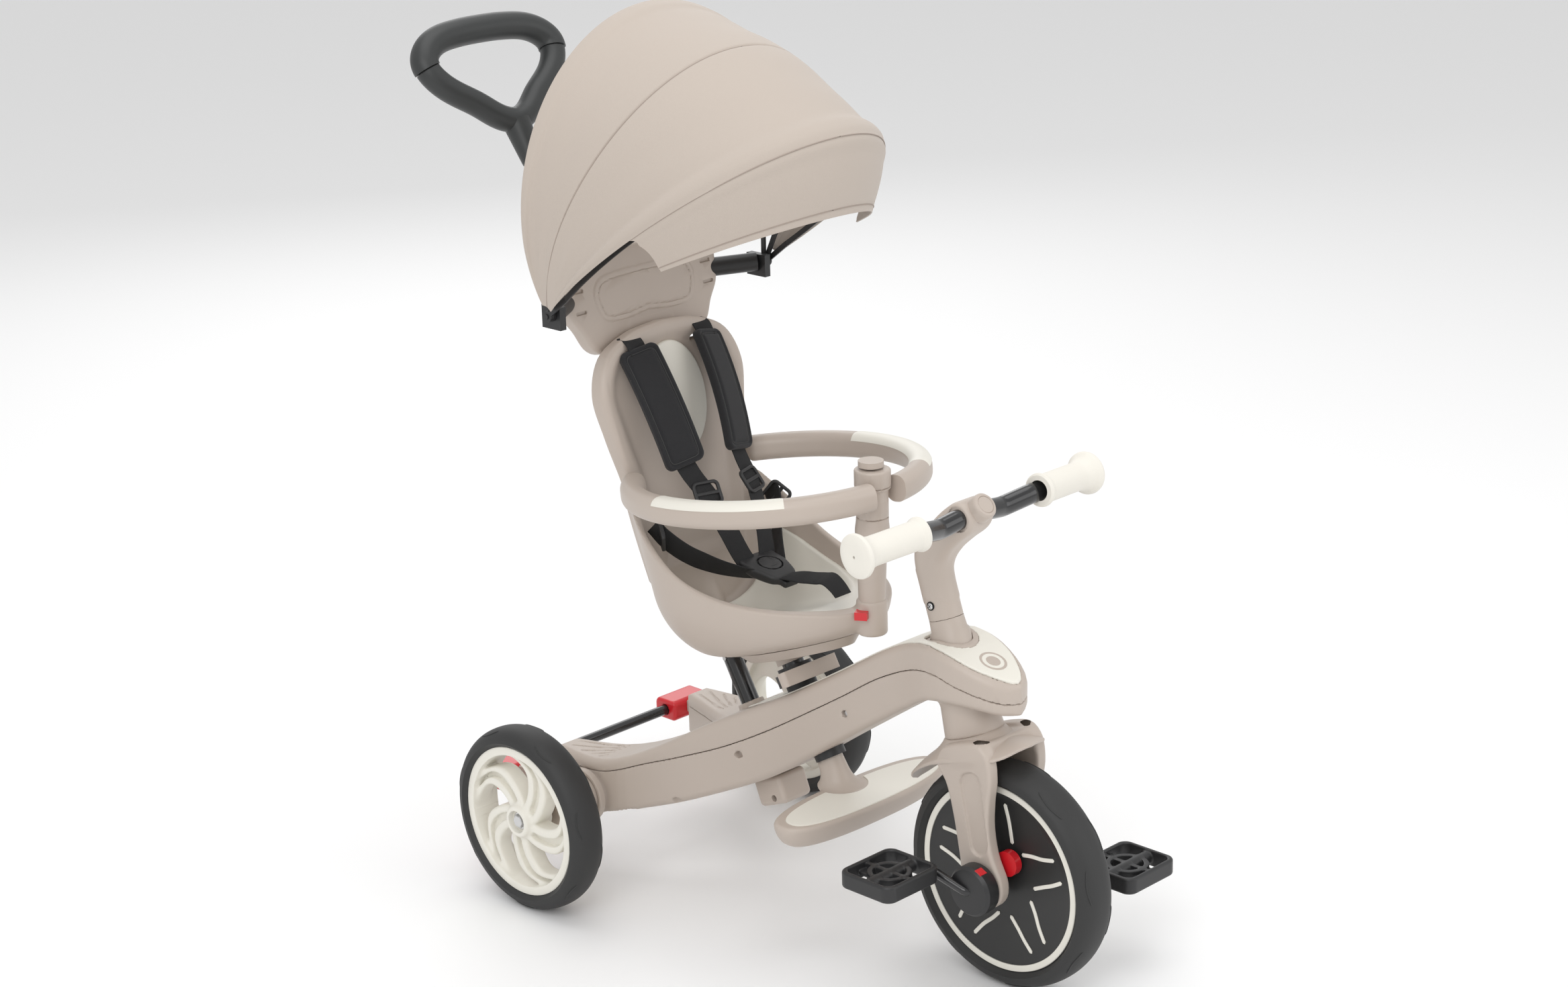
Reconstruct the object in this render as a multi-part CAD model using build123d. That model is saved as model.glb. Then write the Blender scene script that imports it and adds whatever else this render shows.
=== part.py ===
from build123d import *
import os
from math import atan2, cos, degrees, radians, sin, sqrt, tan

# Children's tricycle with push handle, canopy, harness and guard ring. Millimetres, +X forward,
# +Y to the rider's left, +Z up. Everything is drawn with X = 0 on the rear axle and Z = 0 on the
# ground. save() then moves it so that the origin is on the ground under the middle of its length.

MID_X = 179.8            # from the rear axle to the middle of the overall length

# wheels
FRONT_R = 127.0
FRONT_HALF = 25.8        # half the width of the front tyre
REAR_R = 108.75
REAR_HALF = 22.7
WHEELBASE = 531.0
TRACK_HALF = 221.7       # from the middle plane to the middle of a rear wheel
AXLE_R = 5.0
RUNNING = 0.05           # radial clearance of a running fit

# steering
RAKE = 18.2              # steering axis, degrees back from vertical
HEAD_LOW = 156.0         # places along the steering axis, measured from the front hub
HEAD_TOP = 263.0
NECK_LOW = 283.0
COLUMN_R = 14.0
BAR_R = 11.0
BAR_FORWARD = 72.0       # bar centre ahead of the steering axis
BAR_UP = 388.0
GRIP_END = 185.0

# posts
LEAN = 29.8              # seat post and push pole, degrees back from vertical
POST_X, POST_Z = 218.6, 271.5
POST_R = 13.0
POLE_X, POLE_Z = 142.3, 215.2
POLE_R = 11.0
POLE_INNER_R = 9.5
POLE_REACH = 701.0       # from the frame to where the loop handle starts

# canopy
HINGE_X, HINGE_Z = 15.4, 690.6
HINGE_HALF = 165.0
REAR_BOW = 0.5           # bow angles, degrees forward from vertical
MID_BOW = 26.0
FRONT_BOW = 54.0
CLOTH = 1.6

WALL = 3.0
GAP = 0.4                # air left between neighbours that move
PRESS = 2.0              # travel of the small push buttons

STEER = Plane(
    origin=(WHEELBASE, 0, FRONT_R),
    x_dir=(cos(radians(RAKE)), 0, sin(radians(RAKE))),
    z_dir=(-sin(radians(RAKE)), 0, cos(radians(RAKE))),
).location


def leaning(x, z):
    """Place at (x, 0, z) whose own Z runs up along the seat post and whose Y is sideways."""
    lean = radians(LEAN)
    return Plane(origin=(x, 0, z), x_dir=(cos(lean), 0, sin(lean)), z_dir=(-sin(lean), 0, cos(lean))).location


POST = leaning(POST_X, POST_Z)
POLE = leaning(POLE_X, POLE_Z)
REAR_HUB = Pos(0, 0, REAR_R)
FRONT_HUB = Pos(WHEELBASE, 0, FRONT_R)


def save(name, shape):
    """Write a node, moved so that X = 0 is the middle of the length."""
    solids = [Pos(-MID_X, 0, 0) * solid for solid in shape.solids()]
    export_step(Compound(solids) if len(solids) > 1 else solids[0], f"parts/{name}.step")


def cylinder(radius, low, high):
    """Upright cylinder from z = low to z = high."""
    return Pos(0, 0, (low + high) / 2) * Cylinder(radius, high - low)


def tube(outer, inner, low, high):
    return cylinder(outer, low, high) - cylinder(inner, low - 1, high + 1)


def across(shape):
    """Turn a shape built along Z so that it lies along Y."""
    return Rot(X=-90) * shape


def both_sides(shape):
    return Compound(children=[shape, mirror(shape, Plane.XZ)])


def ring_of(points):
    """Solid of revolution about Z from (radius, z) corners."""
    return revolve(Plane.XZ * make_face(Polyline(*points, close=True)), Axis.Z)


def rod(points, radius, bend=0.0):
    """Round bar along corners, with bends of the given radius."""
    path = FilletPolyline(*points, radius=bend) if bend else Polyline(*points)
    section = Plane(origin=path @ 0, z_dir=path % 0) * Circle(radius)
    return sweep(section, path=path, transition=Transition.ROUND)


def block(x0, x1, y0, y1, z0, z1, radius=0.0):
    """Box between two corners, its upright edges and top rounded."""
    shape = Pos((x0 + x1) / 2, (y0 + y1) / 2, (z0 + z1) / 2) * Box(x1 - x0, y1 - y0, z1 - z0)
    return fillet(shape.edges(), radius) if radius else shape


# ---- frame -------------------------------------------------------------------------------------

# Side view of the moulded frame, as (x, z) corners: top, parting line and underside.
TOP = [(-66, 149), (10, 153), (50, 164), (88, 182), (142, 215), (230, 261), (304, 305), (380, 352),
       (420, 371), (446, 377), (475, 373), (546, 347)]
PARTING = [(-80, 132), (20, 141), (77, 160), (117, 173), (157, 188), (203, 212), (259, 246), (318, 283),
           (378, 321), (433, 345), (462, 347), (493, 338), (560, 320)]
UNDER = [(-66, 98), (0, 84), (68, 101), (106, 112), (136, 123), (202, 153), (305, 222), (407, 290),
         (450, 314), (500, 318), (546, 306)]
# Plan view of its left half: outer edge from the leg to the nose, inner edge of the leg from the crotch.
OUTER = [(-66, 124), (20, 130), (50, 125), (75, 112), (105, 95), (135, 76), (170, 56), (210, 42), (260, 36),
         (400, 35), (450, 42), (480, 43), (515, 35), (546, 18)]
INNER = [(88, 0), (80, 12), (62, 28), (40, 45), (11, 61), (-17, 73), (-66, 89)]
SIDE_SCREWS = ((321, 262), (173, 178))


def smooth(points, inset=0.0):
    return Spline(*[(x, v - inset) for x, v in points])


def frame_blank(inset):
    """Solid inside of the side view and the plan view, both drawn in by inset."""
    top, under = smooth(TOP, inset), smooth(UNDER, -inset)
    side = make_face([top, under, Line(top @ 0, under @ 0), Line(top @ 1, under @ 1)])
    outer = smooth(OUTER, inset)
    crotch, *leg = INNER
    inner = Spline((crotch[0] + inset, 0), *[(x, y + inset) for x, y in leg], tangents=((0, 1), (-1, 0.3)))
    left = Wire([inner, Line(inner @ 1, outer @ 0), outer])
    plan = make_face([left, mirror(left, Plane.XZ), Line(outer @ 1, mirror(outer, Plane.XZ) @ 1)])
    length = block(TOP[0][0] + inset, TOP[-1][0] - inset, -200, 200, 0, 500)
    return extrude(plan, 500) & extrude(Plane.XZ * side, 200, both=True) & length


def above_parting():
    line = Spline(*PARTING)
    roof = Polyline(line @ 1, (560, 600), (-80, 600), line @ 0)
    return extrude(Plane.XZ * make_face([line, roof]), 400, both=True)


def steering_bore(radius):
    return STEER * cylinder(radius, HEAD_LOW - 60, HEAD_TOP + 60)


def post_bore(radius):
    return POST * cylinder(radius, -140, 60)


def pole_bore(radius):
    return POLE * cylinder(radius, -60, 40)


def axle_boss():
    """Housing round the axle, from a leg out to the rear wheel."""
    return REAR_HUB * across(ring_of([(AXLE_R, 100), (27, 100), (27, 130), (24, 194), (AXLE_R, 196)]))


def inlay_blank():
    """Pale top cover, from behind the push pole to the nose, 1.5 mm proud of the shell."""
    left = Spline((146, 14), (200, 24), (290, 25), (390, 25), (432, 33), (465, 37), (505, 31), (536, 6))
    right = mirror(left, Plane.XZ)
    edges = [left, right, Line(left @ 0, right @ 0), Line(left @ 1, right @ 1)]
    high, low = smooth(TOP, -1.5), smooth(TOP, 1.5)
    slab = make_face([high, low, Line(high @ 0, low @ 0), Line(high @ 1, low @ 1)])
    return extrude(make_face(edges), 500) & extrude(Plane.XZ * slab, 60, both=True)


def build_frame():
    shell = frame_blank(0) - frame_blank(WALL)
    upper_half = above_parting()
    bosses = axle_boss() + mirror(axle_boss(), Plane.XZ)
    head = STEER * Pos(0, 0, HEAD_LOW + 31) * Cone(33, 27, 60)
    bores = steering_bore(COLUMN_R + 6) + post_bore(POST_R + 5) + pole_bore(POLE_R)
    bores = bores + REAR_HUB * across(cylinder(AXLE_R, -300, 300))
    screws = [Pos(x, 0, z) * Rot(X=90) * Cylinder(3.5, 160) for x, z in SIDE_SCREWS]
    save("frame_lower_shell", (shell - upper_half) + bosses + (head - upper_half) - bores - screws)
    inlay = inlay_blank()
    collar = STEER * tube(COLUMN_R + 11, COLUMN_R + 6, HEAD_TOP - 8, HEAD_TOP + 1)
    pole_socket = POLE * tube(POLE_R + 4.5, POLE_R, -22, 4)
    upper = (shell & upper_half) - inlay + collar + (pole_socket & upper_half)
    save("frame_upper_shell", upper - bosses - bores)
    save("frame_inlay", inlay - collar - bores - pole_bore(POLE_R + 4.5) - post_bore(POST_R + 7.2))


def build_frame_fittings():
    bush_low = STEER * tube(COLUMN_R + 6, COLUMN_R + RUNNING, HEAD_LOW + 2, HEAD_LOW + 18)
    bush_high = STEER * tube(COLUMN_R + 6, COLUMN_R + RUNNING, HEAD_TOP - 14, HEAD_TOP)
    save("steering_bushes", Compound(children=[bush_low, bush_high]))

    sleeve = POST * tube(POST_R + 5, POST_R + RUNNING, -98, 10)
    lip = POST * tube(POST_R + 7, POST_R + RUNNING, 10, 14)
    save("post_socket", sleeve + lip)

    save("pole_tube", POLE * (tube(POLE_R, POLE_INNER_R + RUNNING, -40, 250) + cylinder(POLE_R, -44, -40)))

    save("rear_axle", REAR_HUB * across(cylinder(AXLE_R, -TRACK_HALF - 16, TRACK_HALF + 16)))

    hexagon = extrude(RegularPolygon(8, 6), 6) - Cylinder(AXLE_R, 30)
    nut = REAR_HUB * across(Pos(0, 0, TRACK_HALF + 12) * hexagon)
    pole_pin = POLE * Pos(0, 0, 62) * Rot(X=90) * (Cylinder(2.5, 2 * POLE_R + 4) - Cylinder(2.6, 2 * POLE_R))
    side_screws = [Pos(x, side * 25, z) * Rot(X=90) * Cylinder(3.4, 10)
                   for x, z in SIDE_SCREWS for side in (-1, 1)]
    save("frame_fasteners", Compound(children=[*both_sides(nut).solids(), *pole_pin.solids(), *side_screws]))

    latch = Pos(188, 0, 128) * Rot(Y=-22) * fillet(Box(46, 44, 34).edges(), 6)
    latch = latch - frame_blank(0) - Pos(196, 0, 122) * Rot(X=90) * Cylinder(4, 60)
    save("fold_latch", latch)


# ---- seat post clamp ---------------------------------------------------------------------------

HINGE_PIN_R = 2.5
EAR_REACH = 8.2          # from the lever's hinge to the furthest corner of the ear it turns round


def build_clamp():
    """Band round the post socket under a quick-release lever that lies across the front."""
    band = tube(POST_R + 12, POST_R + 5.1, -6, 8) - Pos(20, 0, 1) * Box(24, 3, 30)
    ears = Pos(POST_R + 15, 27, 1) * Box(12, 8, 14)
    bridge = Pos(POST_R + 7, 20, 1) * Box(14, 14, 14) - cylinder(POST_R + 5.1, -20, 20)
    hinge_at = Pos(POST_R + 16, 27, 1)
    save("clamp_band", POST * (band + bridge + ears - hinge_at * Cylinder(HINGE_PIN_R + RUNNING, 30)))
    grip = fillet(Box(13, 86, 17).edges().filter_by(Axis.Z), 5)
    grip = Pos(POST_R + 21, -13, 1) * grip
    room = cylinder(POST_R + 12.6, -20, 20) + hinge_at * Cylinder(EAR_REACH + GAP, 14.8)
    save("clamp_lever", POST * (grip - room + hinge_at * Cylinder(HINGE_PIN_R, 17)))


# ---- brake -------------------------------------------------------------------------------------

BRAKE_X = -131.0
BRAKE_Z = 103.0


def build_brake():
    """Foot bar behind the wheels, on two levers that turn on the axle housings."""
    save("brake_rod", Pos(BRAKE_X, 0, BRAKE_Z) * across(cylinder(6.4, -128, 128)))
    eye = REAR_HUB * across(tube(32, 27 + GAP, 134, 142))
    arm = block(BRAKE_X + 4, -29, 134, 142, 98, 115)
    pad = block(BRAKE_X - 19, BRAKE_X + 19, 112, 172, BRAKE_Z - 14, BRAKE_Z + 14, 5)
    socket = Pos(BRAKE_X, 0, BRAKE_Z) * across(cylinder(6.4, 0, 128))
    save("brake_pedals", both_sides(eye + arm + pad - socket))


# ---- rear wheels -------------------------------------------------------------------------------

def tyre(outer, half, inner, bead):
    """Solid tyre: beads on the rim and a round crown, built about Z."""
    shoulder = outer - 0.8 * half
    side = Spline((inner, bead), (shoulder, half), (outer, 0), tangents=((0.5, 0.6), (0, -1)))
    face = make_face([side, mirror(side, Plane.XZ), Line((inner, bead), (inner, -bead))])
    return revolve(Plane.XZ * face, Axis.Z)


def blade(width, height):
    arc = ThreePointArc((14, 0), (48, -9), (80 * cos(radians(24)), 80 * sin(radians(24))))
    start = Plane(origin=arc @ 0, z_dir=arc % 0, x_dir=(0, 0, 1))
    return sweep(start * Rectangle(height, width), path=arc)


def rear_rim():
    band = ring_of([(79, -16), (86, -16), (86, 16), (79, 16)])
    lips = ring_of([(79, 16), (86, 16), (86, 17.5), (80, 17.5)])
    lips = lips + mirror(lips, Plane.XY)
    hub = cylinder(21, -22, 14)
    spokes = [Rot(Z=72 * k) * blade(24, 24) for k in range(5)]
    grooves = [Rot(Z=72 * k) * Pos(0, 0, 10) * blade(13, 8) for k in range(5)]
    keep = cylinder(80, -30, 30)
    web = spokes[0]
    for piece in spokes[1:]:
        web = web + piece
    for groove in grooves:
        web = web - (groove - cylinder(24, -30, 30) - ring_of([(74, -30), (90, -30), (90, 30), (74, 30)]))
    recess = cylinder(12, 9, 20)
    return band + lips + (web & keep) + hub - recess - cylinder(AXLE_R + RUNNING, -60, 60)


def build_rear_wheels():
    outboard = REAR_HUB * across(Pos(0, 0, TRACK_HALF) * rear_rim())
    rubber = REAR_HUB * across(Pos(0, 0, TRACK_HALF) * tyre(REAR_R, REAR_HALF, 86, 15.5))
    save("rear_rim_left", outboard)
    save("rear_rim_right", mirror(outboard, Plane.XZ))
    save("rear_tyre_left", rubber)
    save("rear_tyre_right", mirror(rubber, Plane.XZ))


# ---- front wheel and cranks --------------------------------------------------------------------

CRANK_LONG = 62.0
CRANK_ANGLE = 158.8      # of the right-hand crank at rest, from +X towards +Z
PEDAL_Y = 128.0
CLUTCH = (18.0, 24.0)    # clutch button from the hub centre, forward and up


def curved_stroke(side):
    """One thin curved bar of the wheel face; the pair opens outwards like a V."""
    ends = [(47, 9), (68, 15), (87, 27)]
    points = [(r * cos(radians(side * a)), r * sin(radians(side * a))) for r, a in ends]
    arc = ThreePointArc(*points)
    start = Plane(origin=arc @ 0, z_dir=arc % 0, x_dir=(0, 0, 1))
    return sweep(start * Rectangle(3, 3.4), path=arc)


def build_front_wheel():
    save("front_tyre", FRONT_HUB * across(tyre(FRONT_R, FRONT_HALF, 97, 18)))
    core = ring_of([(9.05, -26), (30, -26), (97, -18), (97, 18), (30, 26), (9.05, 26)])
    ring = tube(97, 92, 16, 19.8)
    strokes = [Rot(Z=57 + 72 * k) * Pos(0, 0, 21.6) * curved_stroke(s) for k in range(5) for s in (-1, 1)]
    pale = ring
    for piece in strokes:
        pale = pale + piece
    pale = pale + mirror(pale, Plane.XY)
    clutch_hole = across(Pos(CLUTCH[0], -CLUTCH[1], 0) * cylinder(14 + RUNNING, -40, -14))
    disc = across(core - pale) - clutch_hole
    save("front_disc", FRONT_HUB * disc)
    save("front_ring", FRONT_HUB * across(pale))
    button = across(Pos(CLUTCH[0], -CLUTCH[1], 0) * cylinder(14, -28, -19))
    save("clutch_button", FRONT_HUB * button)


def crank_end(side):
    """Pedal-pin centre of one crank: side is -1 on the right and +1 on the left."""
    turn = radians(CRANK_ANGLE + (180 if side > 0 else 0))
    return (WHEELBASE + CRANK_LONG * cos(turn), FRONT_R + CRANK_LONG * sin(turn))


def build_cranks():
    x1, z1 = crank_end(-1)
    x2, z2 = crank_end(1)
    points = [(x1, -PEDAL_Y - 36, z1), (x1, -82, z1), (WHEELBASE, -70, FRONT_R), (WHEELBASE, 70, FRONT_R),
              (x2, 82, z2), (x2, PEDAL_Y + 36, z2)]
    axle = FRONT_HUB * across(cylinder(9, -46, 46))
    save("crank", rod(points, 5, bend=8) + axle)
    cover = FRONT_HUB * across(cylinder(27, 51, 72) + cylinder(10, 46.5, 51))
    covers = both_sides(fillet(cover.edges().filter_by(GeomType.CIRCLE).sort_by(Axis.Y)[-1:], 3))
    save("crank_covers", Compound(children=[s - rod(points, 5, bend=8) - axle - hole
                                            for s, hole in zip(covers.solids(), crank_button_holes(covers))]))
    for side, name in ((1, "left"), (-1, "right")):
        save(f"crank_button_{name}", crank_button(side))


def crank_button(side, grow=0.0, travel=0.0):
    """Small release button in the rim of a crank cover; its hole is wider by grow and deeper by travel."""
    shape = Pos(0, 0, 22 - travel / 2) * Box(9 + 2 * grow, 10 + 2 * grow, 12 + travel)
    return Pos(WHEELBASE, side * 61.5, FRONT_R) * Rot(Y=25 if side < 0 else 205) * shape


def crank_button_holes(covers):
    return [crank_button(1 if s.center().Y > 0 else -1, GAP, PRESS + GAP) for s in covers.solids()]


def pedal_body():
    """Pedal about its pin, centred at the origin, pin along Y."""
    frame = fillet(Box(74, 80, 18).edges().filter_by(Axis.Z), 12)
    openings = Pos(-20, 4, 0) * Box(20, 52, 30) + Pos(20, 8, 0) * Box(20, 44, 30)
    web = Box(14, 80, 14)
    return frame - openings + (web & frame) - across(cylinder(5 + RUNNING, -60, 60))


def build_pedals():
    for side, name in ((1, "left"), (-1, "right")):
        x, z = crank_end(side)
        save(f"pedal_{name}", Pos(x, side * PEDAL_Y, z) * pedal_body())


# ---- fork, mudguard, column, neck and bar ------------------------------------------------------

def build_fork():
    leg_stations = [(128, 20, 52), (100, 8, 50), (60, 3, 44), (25, 1, 40), (0, 0, 46)]
    sections = []
    for s, lx, width in leg_stations:
        place = Plane(origin=(lx, 39, s), x_dir=(1, 0, 0), z_dir=(0, 0, 1))
        sections.append(place * RectangleRounded(width, 15, 6))
    leg = loft(sections)
    foot = across(cylinder(27, 31.5, 46.5))
    leg = leg + foot - across(cylinder(9 + RUNNING, 20, 60))
    crown = Pos(12, 0, 138) * fillet(Box(62, 93, 22).edges(), 8)
    neck_boss = cylinder(26, 138, HEAD_LOW)
    fork = crown + leg + mirror(leg, Plane.XZ) + neck_boss
    fork = fork - Rot(X=-90) * Cylinder(FRONT_R + 4, 2 * FRONT_HALF + 5)
    fork = fork - cylinder(COLUMN_R, 100, HEAD_LOW + 5)
    save("fork", STEER * fork)

    arc = across(tube(153, 150, -46, 46))
    sector = make_face(Polyline((0, 0), (-236, 96), (-150, 260), (36, 260), close=True))
    guard = arc & (extrude(Plane.XZ * sector, 90, both=True))
    save("mudguard", STEER * guard - STEER * cylinder(26, 100, 200) - STEER * fork)

    column = cylinder(COLUMN_R, 129, 320) + cylinder(18, HEAD_TOP + 1.5, NECK_LOW)
    save("steering_tube", STEER * (column - cylinder(COLUMN_R - 3, 100, 318)))


def build_neck():
    lower = cylinder(19, NECK_LOW + 0.3, 345)
    path = Spline((0, 0, 340), (14, 0, 362), (58, 0, 384), tangents=((0, 0, 1), (0.9, 0, 0.35)))
    bend = sweep(Plane(origin=(0, 0, 340), z_dir=(0, 0, 1)) * Circle(19), path=path)
    head = Pos(66, 0, 386) * Rot(Y=-22) * Rot(X=90) * extrude(SlotOverall(76, 44), 24, both=True)
    neck = lower + bend + fillet(head.edges(), 6)
    bar_hole = Pos(BAR_FORWARD, 0, BAR_UP) * across(cylinder(BAR_R, -60, 60))
    neck = neck - bar_hole - cylinder(COLUMN_R, 200, 322)
    knob_seat = Pos(84, 0, 396) * Rot(Y=90 - 22) * cylinder(15, 12, 40)
    save("neck", STEER * (neck - knob_seat))
    knob = cylinder(14.5, 12.4, 22) + cylinder(11, 22, 25)
    save("knob", STEER * Pos(84, 0, 396) * Rot(Y=90 - 22) * knob)

    half = [(BAR_FORWARD, 24, BAR_UP), (BAR_FORWARD - 3, 50, BAR_UP - 3),
            (BAR_FORWARD + 8, 86, BAR_UP + 1), (BAR_FORWARD + 8, GRIP_END - 3, BAR_UP + 1)]
    points = [(x, -y, z) for x, y, z in reversed(half)] + half
    bar = rod(points, BAR_R, bend=24)
    save("handlebar", STEER * bar)
    sleeve = ring_of([(BAR_R, 93), (17, 93), (18.5, 95), (18.5, 98), (16, 102), (15, 115), (16, 150),
                      (16.5, 168), (22, 176), (25, 181), (25, 184), (20, GRIP_END), (0, GRIP_END), (0, GRIP_END - 3),
                      (BAR_R, GRIP_END - 3)])
    grip = Pos(BAR_FORWARD + 8, 0, BAR_UP + 1) * across(sleeve)
    save("handlebar_grips", STEER * both_sides(grip))


# ---- seat --------------------------------------------------------------------------------------

SEAT_TILT = 19.0
BACK_TILT = 11.6
# Bucket in its tilted frame: (height, rear, front, half width) of each level, outside and inside.
BUCKET = [(226, 235, 412, 70), (245, 200, 444, 96), (275, 170, 452, 111), (320, 160, 454, 118),
          (460, 178, 454, 120)]
HOLLOW = [(250, 246, 402, 62), (264, 210, 434, 90), (288, 175, 445, 105), (320, 167, 447, 111),
          (480, 187, 447, 113)]
# Its sloping rim in the same frame, from the back to the nose.
RIM = [(90, 436), (170, 434), (202, 422), (222, 394), (242, 366), (273, 331), (315, 302), (361, 281),
       (408, 264), (440, 252), (500, 244)]


def tilted(shape):
    return Rot(Y=-SEAT_TILT) * shape


def egg(rear, front, half, z):
    """Egg outline, wide at the rear and narrow at the front."""
    wide = rear + 0.34 * (front - rear)
    edge = Spline((rear, 0, z), (wide, half, z), (front, 0, z), (wide, -half, z), periodic=True)
    return make_face(edge)


def bucket(levels):
    return loft([egg(rear, front, half, z) for z, rear, front, half in levels])


def above_rim():
    rim = Spline(*RIM)
    roof = Polyline(rim @ 1, (500, 800), (90, 800), rim @ 0)
    return extrude(Plane.XZ * make_face([rim, roof]), 200, both=True)


def back_outline(grow):
    half = [(92 + grow, 424), (89 + grow, 492), (103 + grow, 552), (110 + grow, 602), (90 + grow, 646)]
    left = Spline(*half, (0, 668 + grow), tangents=((0, 1), (-1, 0)))
    return make_face([left, mirror(left, Plane.YZ), Line((half[0][0], 424), (-half[0][0], 424))])


def back_place(x_at_515, z=515):
    """Plane of the seat back: local X sideways, local Y up the back, local Z forward."""
    tilt = radians(BACK_TILT)
    foot = x_at_515 + 515 * tan(tilt)
    return Plane(origin=(foot, 0, 0), x_dir=(0, 1, 0), z_dir=(cos(tilt), 0, sin(tilt))).location


def pole_room():
    return POLE * cylinder(POLE_R + 1.5, -80, 900)


def build_seat():
    outside, hollow = tilted(bucket(BUCKET)), tilted(bucket(HOLLOW))
    shell = outside - tilted(above_rim())
    back = back_place(48) * Pos(0, 0, -24) * extrude(back_outline(0), 24)
    groove = back_place(48) * Pos(0, 0, -28) * extrude(back_outline(-8) & Pos(0, 560) * Rectangle(300, 200), 18)
    slots = [Pos(10, y, 628) * Box(80, 26, 5) for y in (-53, 53)]
    base = Pos(334, 0, 0) * cylinder(15.5, 362, 392)
    seat = (shell - hollow) + (back - groove) + base + arm_pivot() + mirror(arm_pivot(), Plane.XZ)
    save("seat_shell", seat - pole_room() - slots - release_button(GAP, PRESS + GAP))

    post = POST * cylinder(POST_R, -88, 36)
    tray = tilted(loft([egg(246, 392, 44, 214), egg(238, 404, 56, 225.5)]))
    tray = tray + POST * cylinder(POST_R + 5, 18, 36)
    save("seat_tray", tray - outside - post - pole_room())
    save("seat_post", post)

    save("seat_pad", tilted(loft([egg(254, 374, 52, 250.4), egg(226, 392, 70, 264), egg(214, 398, 77, 274)])))
    save("back_pad", back_place(48.4) * Pos(0, 570) * extrude(Ellipse(46, 64), 5))


def release_button(grow=0.0, travel=0.0):
    """Button in the nose of the seat; its hole is wider by grow and deeper by travel."""
    shape = Pos(6 - travel / 2, 0, 0) * Box(14 + travel, 14 + 2 * grow, 9 + 2 * grow)
    return Pos(334, -14, 379) * Rot(Z=-60) * shape


# ---- headrest ----------------------------------------------------------------------------------

def build_headrest():
    """Shell above the seat back that carries the canopy, with its neck tongue behind the back."""
    outline = [(-78, 640), (-36, 640), (0, 652), (36, 640), (78, 640), (92, 648), (116, 700), (116, 742),
               (-116, 742), (-116, 700), (-92, 648)]
    place = back_place(23)
    face = make_face(Polyline(*outline, close=True))
    shell = extrude(face, -24) - Pos(0, 0, -3) * extrude(offset(face, -3, kind=Kind.INTERSECTION), -30)
    slots = [Pos(x, z, 0) * Box(18, 4, 10) for x in (-94, 94) for z in (690, 712)]
    tongue = block(-34, 34, 590, 672, -14, 0)
    headrest = place * (shell - slots + tongue) - both_sides(canopy_arm(11))
    save("headrest", headrest)


# ---- canopy ------------------------------------------------------------------------------------

def hinge_plane(angle):
    """Plane through the canopy hinge, leaning forward: local X sideways, local Y outwards."""
    lean = radians(angle)
    return Plane(origin=(HINGE_X, 0, HINGE_Z), x_dir=(0, 1, 0), z_dir=(cos(lean), 0, -sin(lean)))


def canopy_arm(radius):
    """Left arm from the headrest out to the canopy hinge."""
    return rod([(-26, 106, 687), (12, 156, 691)], radius)


# Bow ellipses: (half width, height of its centre above the hinge, rise above that centre).
REAR_SHAPE = (198.0, 110.0, 212.0)
MID_SHAPE = (194.0, 106.0, 214.0)
FRONT_SHAPE = (188.0, 103.0, 246.0)
HEM = 67.0               # front edge of the visor, degrees
HEM_SHAPE = (160.0, 120.0, 172.0)
TRIM = 0.05              # how far the hollow passes the cloth's edges, degrees
BOW_FOOT = 40.0          # height of a bow's straight legs above the hinge
BOW_WIDE, BOW_THICK = 6.0, 2.4


def bow_ends(shape, inset, foot):
    """Sideways place where a bow reaches a given height above the hinge."""
    a, centre, b = shape[0] - inset, shape[1], shape[2] - inset
    return a * sqrt(1 - ((centre - foot) / b) ** 2), a, centre, b


def bow_arc(shape, inset, foot):
    y, a, centre, b = bow_ends(shape, inset, foot)
    start = degrees(atan2((foot - centre) / b, y / a))
    return Pos(0, centre) * EllipticalCenterArc((0, 0), a, b, start_angle=start, arc_size=180 - 2 * start)


def bow_face(angle, shape, inset, foot):
    arc = bow_arc(shape, inset, foot)
    return hinge_plane(angle) * make_face([arc, Line(arc @ 1, arc @ 0)])


def canopy_bow(angle, shape, eye_y):
    """Flat bow inside the cloth; each straight leg ends in an eye on the hinge pin at |y| = eye_y."""
    centre, rise = shape[1], shape[2] - 8
    half = eye_y / sqrt(1 - ((centre - BOW_FOOT) / rise) ** 2)
    arc = hinge_plane(angle).location * bow_arc((half, centre, rise), 0, BOW_FOOT)
    normal = hinge_plane(angle).z_dir
    bow = sweep(Plane(origin=arc @ 0, z_dir=arc % 0, x_dir=normal) * Rectangle(BOW_WIDE, BOW_THICK), path=arc)
    foot = arc @ 0
    leg = slab((HINGE_X, foot.Y, HINGE_Z), foot, BOW_WIDE, BOW_THICK, side=normal)
    eye = Pos(HINGE_X, 0, HINGE_Z) * across(cylinder(6.5, eye_y - BOW_THICK / 2, eye_y + BOW_THICK / 2))
    pin = Pos(HINGE_X, 0, HINGE_Z) * across(cylinder(3 + RUNNING, -200, 200))
    near = (leg + eye) if foot.Y > 0 else mirror(eye, Plane.XZ) + leg
    return bow + near + mirror(near, Plane.XZ) - pin


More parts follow.
